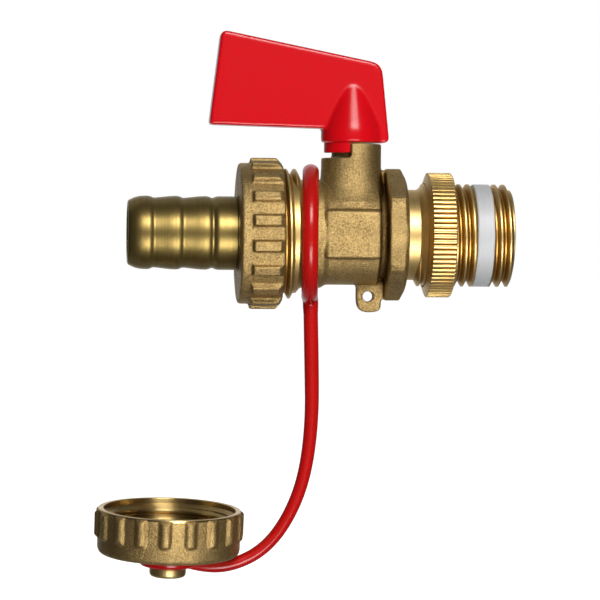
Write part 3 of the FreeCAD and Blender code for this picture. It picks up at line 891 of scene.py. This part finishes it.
def build_inlet_end():
    """The neck and the inlet's thread, which is parted where the seal sits."""
    root = INLET_R - settings().sizes.thread_depth / MM
    brass = finish("turned_brass")
    core = lathe([
        (HEX_RIGHT - HEX_LAP, INLET_BORE_R), (HEX_RIGHT - HEX_LAP, INLET_NECK_R),
        (INLET_RUNOUT, INLET_NECK_R), (LOCK_LEFT - 0.05, INLET_R - 0.15), (LOCK_LEFT + 0.9, root),
        (-SEAL_GROOVE, root), (-SEAL_GROOVE, SEAL_GROOVE_R), (SEAL_GROOVE, SEAL_GROOVE_R),
        (SEAL_GROOVE, root), (BODY_RIGHT - 0.15, root), (BODY_RIGHT, root - 0.25),
        (BODY_RIGHT, INLET_BORE_R, 0.5)])
    before = thread_ridge(
        root, INLET_RUNOUT + 0.1, BODY_RIGHT - 0.45, INLET_TOP_CREST, brass, fade=INLET_FADE)
    after = before.copy()
    parted = [
        cut_square(before, -SEAL_GROOVE, 1),
        cut_square(cut_square(after, SEAL_GROOVE, -1), BODY_RIGHT - 0.1, 1),
    ]
    piece = new_piece("inlet_thread", joined([core] + parted), brass, sharp_deg=THREAD_SHARP_DEG)
    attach(piece, "valve")


def build_outlet_end():
    """The outlet's thread and the smooth neck on which the strap's ring turns."""
    root = OUTLET_R - settings().sizes.thread_depth / MM
    brass = finish("turned_brass")
    core = lathe([
        (BODY_LEFT, OUTLET_BORE_R, 0.4), (BODY_LEFT, root - 0.3), (BODY_LEFT + 0.3, root),
        (OUTLET_CREST + 0.1, root), (OUTLET_CREST + 1.0, NECK_R, 0.4),
        (COLLAR_LEFT + 0.5, NECK_R - 0.06), (COLLAR_LEFT + 0.5, CHAMBER_R),
        (CHAMBER_LEFT, CHAMBER_R), (CHAMBER_LEFT, OUTLET_BORE_R)])
    ridge = thread_ridge(root, BODY_LEFT + 0.75, OUTLET_CREST - 0.1, OUTLET_TOP_CREST, brass)
    piece = new_piece("outlet_thread", joined([core, ridge]), brass, sharp_deg=THREAD_SHARP_DEG)
    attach(piece, "valve")


# Lever

# Corners of the wing from the stem and the lever's foot, each with the reach of its rounding
WING_OUTLINE = [
    (-29.1, 3.35, 0.6), (-26.8, 22.55, 1.4), (5.85, 16.1, 2.2), (7.55, 0.0, 1.2), (-2.1, 0.0),
    (-4.2, 2.75, 1.0)]
WING_HALF_THICKNESS = 3.0
WING_RIM = 0.7
LEVER_FOOT_Z = TOWER_TOP_Z + 0.2
LEVER_ROUNDS = 18
BOSS_R = 6.2
BOSS_TIP_R = 2.6
BOSS_SHOULDER = 2.8
BOSS_HEIGHT = 12.9
LUG_ANGLES = (180.3, 262.7)
LUG_BELOW_FOOT = 2.1
LUG_ABOVE_FOOT = 1.4
LUG_RIM = 0.25
LUG_CORNER_DEG = 30


def build_lever():
    wing = new_piece("lever", prism(rounded([
        (STEM_X + x, LEVER_FOOT_Z + z, *reach) for x, z, *reach in WING_OUTLINE
    ]), WING_HALF_THICKNESS), finish("lever_red"))
    rim = wing.modifiers.new("Rim", "BEVEL")
    rim.width = WING_RIM * MM
    rim.segments = 4
    rim.limit_method = "ANGLE"
    bake_modifiers(wing)
    add_to(wing, lathe([
        (LEVER_FOOT_Z, 0.0), (LEVER_FOOT_Z, BOSS_R, 0.4),
        (LEVER_FOOT_Z + BOSS_SHOULDER, BOSS_R, 1.2), (LEVER_FOOT_Z + BOSS_HEIGHT, BOSS_TIP_R),
        (LEVER_FOOT_Z + BOSS_HEIGHT, 0.0)], "Z", (STEM_X, 0, 0)))
    cast_skin(wing, settings().sizes.moulded_skin, LEVER_ROUNDS)
    lug = ring_sector(
        SLEEVE_R + 0.25, TOWER_R - 0.5, LEVER_FOOT_Z - LUG_BELOW_FOOT,
        LEVER_FOOT_Z + LUG_ABOVE_FOOT, LUG_ANGLES)
    sharp = radians(LUG_CORNER_DEG)
    corners = [edge for edge in lug.edges if edge.calc_face_angle() > sharp]
    bmesh.ops.bevel(lug, geom=corners, offset=LUG_RIM, segments=3, profile=0.5, affect="EDGES")
    add_to(wing, lug)
    wing.visible_glossy = False
    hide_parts("handle")
    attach(wing, "lever")


# Outlet union

TAIL_CREST_R = 7.47
TAIL_GROOVE_R = 7.05
TAIL_BORE_R = 5.4
FLANGE_R = 11.9
FLANGE_WIDTH = 1.6
FIRST_GROOVE = NUT_LEFT - 5.25
BARB_PITCH = 5.95
FULL_BARBS = 2
NUT_R = 14.3
NUT_HOLE_R = 7.67
NUT_INSIDE_R = 12.69
NUT_WEB = 1.8
RIB_R = 15.35
RIB_LEFT = NUT_LEFT + 2.25
RIB_HALF_FOOT = 1.35
RIB_HALF_CREST = 1.0
RIB_SLOPE = 0.35
RIBBED_ROUNDS = 3


def build_hose_tail():
    flange_left = TAIL_RIGHT - FLANGE_WIDTH
    profile = [
        (TAIL_RIGHT, TAIL_BORE_R, 0.3), (TAIL_RIGHT, FLANGE_R, 0.3), (flange_left, FLANGE_R, 0.3),
        (flange_left, TAIL_CREST_R - 0.22), (NUT_LEFT - 0.2, TAIL_CREST_R - 0.22),
        (NUT_LEFT - 0.4, TAIL_CREST_R), (FIRST_GROOVE + 0.9, TAIL_CREST_R, 0.5),
        (FIRST_GROOVE, TAIL_GROOVE_R, 0.35)]
    groove = FIRST_GROOVE
    for _ in range(FULL_BARBS):
        profile += [
            (groove - 0.9, TAIL_CREST_R, 0.6), (groove - 2.4, TAIL_CREST_R - 0.03, 0.8),
            (groove - BARB_PITCH, TAIL_GROOVE_R, 0.35)]
        groove -= BARB_PITCH
    profile += [
        (groove - 0.9, TAIL_CREST_R, 0.6), (TAIL_LEFT + 2.0, TAIL_CREST_R - 0.08, 1.2),
        (TAIL_LEFT, TAIL_CREST_R - 1.0, 0.5), (TAIL_LEFT, TAIL_BORE_R, 0.25)]
    barbed = turned(rounded(profile, 6), segments=192)
    piece = new_piece("hose_tail_barbed", barbed, finish("tail_brass"))
    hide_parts("hose_tail")
    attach(piece, "tail")


def nut_rib():
    """One flat-topped rib with sloped ends, standing at the top."""
    rows = []
    for x, r in (
        (RIB_LEFT, NUT_R), (RIB_LEFT + 0.25, RIB_R), (NUT_RIGHT - 1.15, RIB_R),
        (NUT_RIGHT, NUT_R - 0.25),
    ):
        half = RIB_HALF_CREST + (RIB_R - r) * RIB_SLOPE
        rows.append([(x, y, z) for y, z in (
            (-RIB_HALF_FOOT, OUTLET_R), (RIB_HALF_FOOT, OUTLET_R), (half, r), (-half, r))])
    return lofted(rows)


def build_union_nut():
    sizes = settings().sizes
    brass = finish("forged_brass")
    shell = lathe([
        (NUT_LEFT, NUT_HOLE_R, 0.3), (NUT_LEFT, NUT_R, 0.6), (NUT_RIGHT, NUT_R, 0.6),
        (NUT_RIGHT, NUT_INSIDE_R), (NUT_LEFT + NUT_WEB, NUT_INSIDE_R),
        (NUT_LEFT + NUT_WEB, NUT_HOLE_R)])
    ribs = spaced_round(nut_rib(), sizes.grip_ribs, ALONG_X, 0.0, brass)
    piece = new_piece("union_nut_ribbed", joined([shell, ribs]), brass)
    cast_skin(piece, sizes.forged_skin, RIBBED_ROUNDS)
    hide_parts("union_nut")
    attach(piece, "nut")


# Lock ring and its seal

LOCK_R = 12.7
LOCK_HOLE_R = INLET_R - 0.5
LOCK_RECESS = 1.1
LOCK_RECESS_R = INLET_R + 0.12
LOCK_CONE = 0.72
LOCK_CONE_R = 10.8
LOCK_SHARP_DEG = 35
KNURL_DEPTH = 0.42
KNURL_FLOOR_R = LOCK_R - KNURL_DEPTH
KNURL_LEFT = LOCK_LEFT + LOCK_CONE * (KNURL_FLOOR_R - LOCK_CONE_R) / (LOCK_R - LOCK_CONE_R)
KNURL_SUNK = 0.15
SEAL_GAP = 0.03
# A tooth's section in shares of its pitch and depth
TOOTH = [
    (-0.5, 0.0), (-0.4, 0.45), (-0.3, 0.9), (-0.2, 1.0),
    (0.2, 1.0), (0.3, 0.9), (0.4, 0.45), (0.5, 0.0)]


def knurl_tooth(pitch):
    """One tooth with a sloped left end and a chamfered right one, standing at the top."""
    rows = []
    for x, height in (
        (KNURL_LEFT, 0.02), (LOCK_LEFT + LOCK_CONE, 1.0), (LOCK_RIGHT - 0.25, 1.0),
        (LOCK_RIGHT, 0.4),
    ):
        row = [(x, side * pitch, KNURL_FLOOR_R - KNURL_SUNK) for side in (0.5, -0.5)]
        for across, rise in TOOTH:
            row.append((x, across * pitch, KNURL_FLOOR_R + KNURL_DEPTH * height * rise))
        rows.append(row)
    return lofted(rows)


def build_lock_ring():
    brass = finish("turned_brass")
    blank = lathe([
        (LOCK_LEFT + LOCK_RECESS, LOCK_HOLE_R), (LOCK_LEFT + LOCK_RECESS, LOCK_RECESS_R),
        (LOCK_LEFT, LOCK_RECESS_R, 0.1), (LOCK_LEFT, LOCK_CONE_R, 0.1), (KNURL_LEFT, KNURL_FLOOR_R),
        (LOCK_RIGHT, KNURL_FLOOR_R), (LOCK_RIGHT, LOCK_HOLE_R, 0.3)])
    count = settings().sizes.knurl_teeth
    tooth = knurl_tooth(tau * KNURL_FLOOR_R / count)
    teeth = spaced_round(tooth, count, ALONG_X, 0.0, brass)
    piece = new_piece(
        "lock_ring_knurled", joined([blank, teeth]), brass, sharp_deg=LOCK_SHARP_DEG)
    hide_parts("lock_ring")
    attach(piece, "locking_ring")


def build_thread_seal():
    seal = lathe([
        (SEAL_LEFT, SEAL_GROOVE_R + SEAL_GAP), (SEAL_LEFT, INLET_R - SEAL_GAP, 0.35),
        (SEAL_RIGHT, INLET_R - SEAL_GAP, 0.35), (SEAL_RIGHT, SEAL_GROOVE_R + SEAL_GAP)])
    piece = new_piece("thread_seal", seal, finish("seal_white"))
    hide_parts("thread_seal_ring")
    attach(piece, "valve")


# Cap strap

# The ring's radius, its half width and half thickness, and its shift along its joint's axis
RING_R = 12.7
RING_SECTION = (1.7, 1.53)
RING_SHIFT = -0.36
RING_STEPS = 28
RING_ROUNDS = 5
# Distance down the strap and radius of the stub that blends the ring into it
RING_ROOT = [(0.0, 0.0), (0.0, 1.6), (2.0, 1.6), (5.2, 1.4), (5.2, 0.0)]
EYELET_R = 5.8
EYELET_HOLE_R = 2.9
EYELET_TOP = -0.2
EYELET_BOTTOM = -2.4


def build_strap_cord(red):
    curve = bpy.data.curves.new("strap", "CURVE")
    curve.dimensions = "3D"
    curve.bevel_depth = settings().sizes.strap_thickness / 2
    curve.bevel_resolution = 8
    curve.resolution_u = 24
    curve.use_fill_caps = True
    spline = curve.splines.new("NURBS")
    spline.points.add(len(STRAP_ROUTE) - 1)
    for point, (x, z), swell in zip(spline.points, STRAP_ROUTE, STRAP_SWELL):
        point.co = (x * MM, 0, z * MM, 1)
        point.radius = swell
    spline.order_u = 3
    spline.use_endpoint_u = True
    curve.materials.append(red)
    strap = new_object("strap_cord", curve)
    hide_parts("cap_strap")
    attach(strap, "strap")
    return strap


def build_strap_ring(red):
    half_width, half_thickness = RING_SECTION
    profile = []
    for angle in angles_round(RING_STEPS):
        profile.append((
            RING_SHIFT + half_width * cos(angle), RING_R + half_thickness * sin(angle)))
    hoop = turned(profile)
    hoop.transform(RING_PLACE)
    start, onward = (Vector((x, 0, z)) for x, z in STRAP_ROUTE[:2])
    root = turned(RING_ROOT, segments=48)
    down = (onward - start).to_track_quat("X", "Z").to_matrix().to_4x4()
    root.transform(Matrix.Translation(start) @ down)
    ring = new_piece("strap_ring", joined([hoop, root]), red)
    cast_skin(ring, settings().sizes.moulded_skin, RING_ROUNDS)
    ring.visible_glossy = False
    return ring


def build_strap():
    red = finish("strap_red")
    strap = build_strap_cord(red)
    ring = build_strap_ring(red)
    eyelet = new_piece("strap_eyelet", lathe([
        (EYELET_TOP, EYELET_HOLE_R, 0.3), (EYELET_TOP, EYELET_R, 0.9),
        (EYELET_BOTTOM, EYELET_R, 0.9), (EYELET_BOTTOM, EYELET_HOLE_R, 0.3)], "Z"), red, CAP_PLACE)
    for piece in (ring, eyelet):
        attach(piece, "strap")
    return strap, eyelet


# Blanking cap

CAP_R = 14.5
CAP_HEIGHT = 9.25
CAP_FLOOR = 2.3
CAP_LINING = CAP_FLOOR + 1.6
CAP_INSIDE_R = 12.69
CAP_RIB_R = 1.35
CAP_RIB_CREST_R = 15.28
CAP_RIB_LENGTH = 6.1
CAP_RIB_SLOPE = 0.8
CAP_RIB_STEPS = 24
CAP_FIRST_RIB = radians(4.7)
CAP_RIM = 0.35
CAP_MOUTH = 1.7
CAP_MOUTH_R = 13.42
CAP_THREAD_DEPTH = -0.75
CAP_SHARP_DEG = 30
KNOB_NECK_R = 2.7
KNOB_R = 3.72
KNOB_TOP = -2.6
KNOB_BOTTOM = -4.6


def cap_rib():
    """One half-round rib with a sloped foot and top, standing at +X."""
    centre = CAP_RIB_CREST_R - CAP_RIB_R
    foot = CAP_HEIGHT - CAP_RIB_LENGTH
    rows = []
    for z, limit in (
        (foot, CAP_R - 0.1), (foot + CAP_RIB_SLOPE, CAP_RIB_CREST_R),
        (CAP_HEIGHT - CAP_RIB_SLOPE, CAP_RIB_CREST_R), (CAP_HEIGHT - 0.1, CAP_R),
    ):
        row = []
        for angle in angles_round(CAP_RIB_STEPS):
            out = max(CAP_R - 0.5, centre + CAP_RIB_R * cos(angle))
            row.append((min(limit, out), CAP_RIB_R * sin(angle), z))
        rows.append(row)
    return lofted(rows)


def build_cap_cup():
    sizes = settings().sizes
    brass = finish("forged_brass")
    cup = lathe([
        (0.0, 0.0), (0.0, CAP_R, 1.6), (CAP_HEIGHT - CAP_RIM, CAP_R),
        (CAP_HEIGHT - CAP_RIM, CAP_MOUTH_R + 0.3), (CAP_HEIGHT - CAP_MOUTH, CAP_MOUTH_R + 0.3),
        (CAP_HEIGHT - CAP_MOUTH, CAP_INSIDE_R + 0.35), (CAP_FLOOR, CAP_INSIDE_R + 0.35),
        (CAP_FLOOR, 0.0)], "Z")
    ribs = spaced_round(cap_rib(), sizes.grip_ribs, ALONG_Z, CAP_FIRST_RIB, brass)
    piece = new_piece("cap_ribbed", joined([cup, ribs]), brass, CAP_PLACE)
    cast_skin(piece, sizes.forged_skin, RIBBED_ROUNDS)
    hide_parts("cap")
    return piece


def build_cap_lining():
    """The turned rim and mouth of the cap with the thread below them."""
    bright = finish("lining_brass")
    lining = lathe([
        (CAP_LINING, CAP_INSIDE_R), (CAP_LINING, CAP_INSIDE_R + 0.8),
        (CAP_HEIGHT - CAP_MOUTH - 0.3, CAP_MOUTH_R + 0.5),
        (CAP_HEIGHT - CAP_RIM - 0.3, CAP_R - 0.1), (CAP_HEIGHT, CAP_R - 0.02, 0.15),
        (CAP_HEIGHT, CAP_MOUTH_R, 0.15), (CAP_HEIGHT - CAP_MOUTH + 0.7, CAP_MOUTH_R),
        (CAP_HEIGHT - CAP_MOUTH, CAP_INSIDE_R)], "Z")
    thread = thread_ridge(
        CAP_INSIDE_R + 0.1, CAP_FLOOR + 1.9, CAP_HEIGHT - CAP_MOUTH, 0.0, bright,
        CAP_THREAD_DEPTH)
    thread.transform(Matrix.Rotation(-pi / 2, 4, "Y"))
    return new_piece(
        "cap_thread", joined([lining, thread]), bright, CAP_PLACE, sharp_deg=CAP_SHARP_DEG)


def build_cap():
    cup = build_cap_cup()
    lining = build_cap_lining()
    knob = new_piece("cap_knob", lathe([
        (0.5, 0.0), (0.5, KNOB_NECK_R), (KNOB_TOP, KNOB_NECK_R), (KNOB_TOP, KNOB_R, 0.25),
        (KNOB_BOTTOM, KNOB_R, 0.9),
        (KNOB_BOTTOM, 0.0)], "Z", segments=96), finish("turned_brass"), CAP_PLACE)
    pieces = [cup, lining, knob]
    for part in pieces:
        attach(part, "blanking_cap")
    return pieces


def build_cap_and_strap():
    strap, eyelet = build_strap()
    cap_pieces = build_cap()


# Inner solids that keep their own form

INNER_FINISHES = {
    "ball_plate": ["ball"],
    "seal_white": ["ball_seat_inlet", "ball_seat_outlet", "stem_thrust_washer"],
    "turned_brass": ["seat_retainer", "stem"],
    "rubber_black": ["stem_o_ring_lower", "stem_o_ring_upper", "hose_washer", "cap_seal"],
}


def dress_inner_parts():
    for name, nodes in INNER_FINISHES.items():
        for node in nodes:
            for slot in frame["nodes"][node].material_slots:
                slot.material = finish(name)


# Stage

SENSOR_WIDTH = 36.0
CLIP_START = 0.01
FLOOR_HALF = 6.0
FLOOR_ROUGHNESS = 0.9
FLOOR_GLOW = 0.93

# What the part sees round it: the dark studio, the backdrop behind the part, from this Y of a
# direction on, and the light that comes back from above and below, growing over this span of Z
STUDIO_LIGHT = 0.055
BACKDROP_LIGHT = 0.8
BACKDROP_FROM = 0.72
BOUNCE_LIGHT = 0.07
BOUNCE_SPAN = (0.6, 0.95)

# The front boxes' distance, and their way to the right as a share of it
BOX_DISTANCE = 0.75
BOX_ASIDE = 0.14


def front_box_place(rise_deg):
    rise = radians(rise_deg)
    return Vector((BOX_ASIDE, -cos(rise), sin(rise))) * BOX_DISTANCE


# Lamps: name, place from the point that the camera looks at, size in metres and power in watts
LAMPS = [
    ("upper box", front_box_place(34.0), (0.34, 0.30), 5.2),
    ("lower box", front_box_place(-34.0), (0.34, 0.30), 4.2),
    ("front panel", Vector((0.03, -0.95, 0.0)), (1.1, 0.9), 0.35),
    ("rear upper", Vector((-0.1, 0.55, 0.62)), (1.3, 0.8), 1.1),
    ("rear lower", Vector((-0.1, 0.55, -0.62)), (1.3, 0.8), 0.55),
]


def place_camera(aim):
    stage = settings().stage
    back = Vector((
        sin(stage.turn) * cos(stage.rise),
        -cos(stage.turn) * cos(stage.rise),
        sin(stage.rise)))
    lens = bpy.data.cameras.new("camera")
    lens.lens = stage.lens
    lens.sensor_width = SENSOR_WIDTH
    lens.clip_start = CLIP_START
    camera = new_object("camera", lens)
    camera.location = aim + back * stage.distance
    level = (-back).to_track_quat("-Z", "Y")
    camera.rotation_euler = (level @ Quaternion((0, 0, 1), stage.roll)).to_euler()
    bpy.context.scene.camera = camera


def lay_floor():
    bm = bmesh.new()
    bmesh.ops.create_grid(bm, x_segments=1, y_segments=1, size=FLOOR_HALF)
    mesh = stored("floor", bm)
    pale = bpy.data.materials.new("Pale floor")
    pale.use_nodes = True
    inputs = pale.node_tree.nodes["Principled BSDF"].inputs
    inputs["Base Color"].default_value = tinted(settings().colours.floor, 1.0)
    inputs["Roughness"].default_value = FLOOR_ROUGHNESS
    inputs["Emission Color"].default_value = WHITE
    inputs["Emission Strength"].default_value = FLOOR_GLOW
    mesh.materials.append(pale)
    floor = new_object("floor", mesh)
    floor.location = (0, 0, CAD_LOW.z - settings().stage.floor_drop)
    floor.visible_diffuse = False
    floor.visible_glossy = False
    floor.visible_shadow = False


def light_surroundings():
    """A world that is white to the camera and a dark studio with a bright backdrop to the part."""
    world = bpy.data.worlds.new("studio")
    bpy.context.scene.world = world
    world.use_nodes = True
    world.node_tree.nodes.clear()
    sketch = Sketch(world.node_tree)
    seen = sketch.add("ShaderNodeLightPath").outputs["Is Camera Ray"]
    outward = sketch.add("ShaderNodeTexCoord").outputs["Generated"]
    way = sketch.add("ShaderNodeSeparateXYZ", {0: outward}).outputs
    backdrop = sketch.ease(way["Y"], BACKDROP_FROM, 1.0, STUDIO_LIGHT, BACKDROP_LIGHT)
    bounce = sketch.ease(sketch.math("ABSOLUTE", way["Z"]), *BOUNCE_SPAN, 0.0, BOUNCE_LIGHT)
    strength = sketch.math("MAXIMUM", seen, sketch.math("ADD", backdrop, bounce))
    surround = sketch.out("ShaderNodeBackground", {"Color": WHITE, "Strength": strength})
    sketch.add("ShaderNodeOutputWorld", {"Surface": surround})


def hang_lamps(aim):
    for name, place, size, power in LAMPS:
        lamp = bpy.data.lights.new(name, "AREA")
        lamp.shape = "RECTANGLE"
        lamp.size, lamp.size_y = size
        lamp.energy = power
        light = new_object(name, lamp)
        light.location = aim + place
        light.visible_camera = False
        light.rotation_euler = (-place).to_track_quat("-Z", "Y").to_euler()


def build_stage():
    stage = settings().stage
    aim = Vector((stage.aim_x, 0, stage.aim_z))
    place_camera(aim)
    lay_floor()
    light_surroundings()
    hang_lamps(aim)
    view = bpy.context.scene.view_settings
    view.view_transform = "Standard"
    view.look = "None"


# Operators


class DRAINCOCK_OT_forged_body(bpy.types.Operator):
    """Makes the forging and its turned ends."""

    bl_idname = "drain_cock.forged_body"
    bl_label = "Forged body"

    def execute(self, context):
        build_forging()
        build_inlet_end()
        build_outlet_end()
        return {"FINISHED"}


class DRAINCOCK_OT_lever(bpy.types.Operator):
    """Makes the red wing lever."""

    bl_idname = "drain_cock.lever"
    bl_label = "Lever"

    def execute(self, context):
        build_lever()
        return {"FINISHED"}


class DRAINCOCK_OT_outlet_union(bpy.types.Operator):
    """Makes the hose tail and the ribbed nut."""

    bl_idname = "drain_cock.outlet_union"
    bl_label = "Outlet union"

    def execute(self, context):
        build_hose_tail()
        build_union_nut()
        return {"FINISHED"}


class DRAINCOCK_OT_lock_ring(bpy.types.Operator):
    """Makes the knurled ring and the white seal."""

    bl_idname = "drain_cock.lock_ring"
    bl_label = "Lock ring"

    def execute(self, context):
        build_lock_ring()
        build_thread_seal()
        return {"FINISHED"}


class DRAINCOCK_OT_cap_and_strap(bpy.types.Operator):
    """Makes the cap, its thread, its knob and its strap."""

    bl_idname = "drain_cock.cap_and_strap"
    bl_label = "Cap and strap"

    def execute(self, context):
        build_cap_and_strap()
        return {"FINISHED"}


class DRAINCOCK_OT_inner_parts(bpy.types.Operator):
    """Gives the inner solids their finishes."""

    bl_idname = "drain_cock.inner_parts"
    bl_label = "Inner parts"

    def execute(self, context):
        dress_inner_parts()
        return {"FINISHED"}


class DRAINCOCK_OT_studio(bpy.types.Operator):
    """Makes the camera, the floor and the lights."""

    bl_idname = "drain_cock.studio"
    bl_label = "Studio"

    def execute(self, context):
        build_stage()
        return {"FINISHED"}


STEPS = [
    DRAINCOCK_OT_forged_body,
    DRAINCOCK_OT_lever,
    DRAINCOCK_OT_outlet_union,
    DRAINCOCK_OT_lock_ring,
    DRAINCOCK_OT_cap_and_strap,
    DRAINCOCK_OT_inner_parts,
    DRAINCOCK_OT_studio,
]


class VIEW3D_PT_drain_cock(bpy.types.Panel):
    """Lists the build steps of the drain cock."""

    bl_label = "Drain cock"
    bl_idname = "VIEW3D_PT_drain_cock"
    bl_space_type = "VIEW_3D"
    bl_region_type = "UI"
    bl_category = "Drain cock"

    def draw(self, context):
        for step in STEPS:
            self.layout.operator(step.bl_idname)


CLASSES = [
    DrainCockSizes, DrainCockColours, DrainCockStage, DrainCockSettings, *STEPS,
    VIEW3D_PT_drain_cock]


def register():
    for cls in CLASSES:
        bpy.utils.register_class(cls)
    bpy.types.Scene.drain_cock = bpy.props.PointerProperty(type=DrainCockSettings)


def unregister():
    del bpy.types.Scene.drain_cock
    for cls in reversed(CLASSES):
        bpy.utils.unregister_class(cls)


def main():
    register()
    bpy.ops.drain_cock.forged_body()
    bpy.ops.drain_cock.lever()
    bpy.ops.drain_cock.outlet_union()
    bpy.ops.drain_cock.lock_ring()
    bpy.ops.drain_cock.cap_and_strap()
    bpy.ops.drain_cock.inner_parts()
    bpy.ops.drain_cock.studio()


if __name__ == "__main__":
    main()
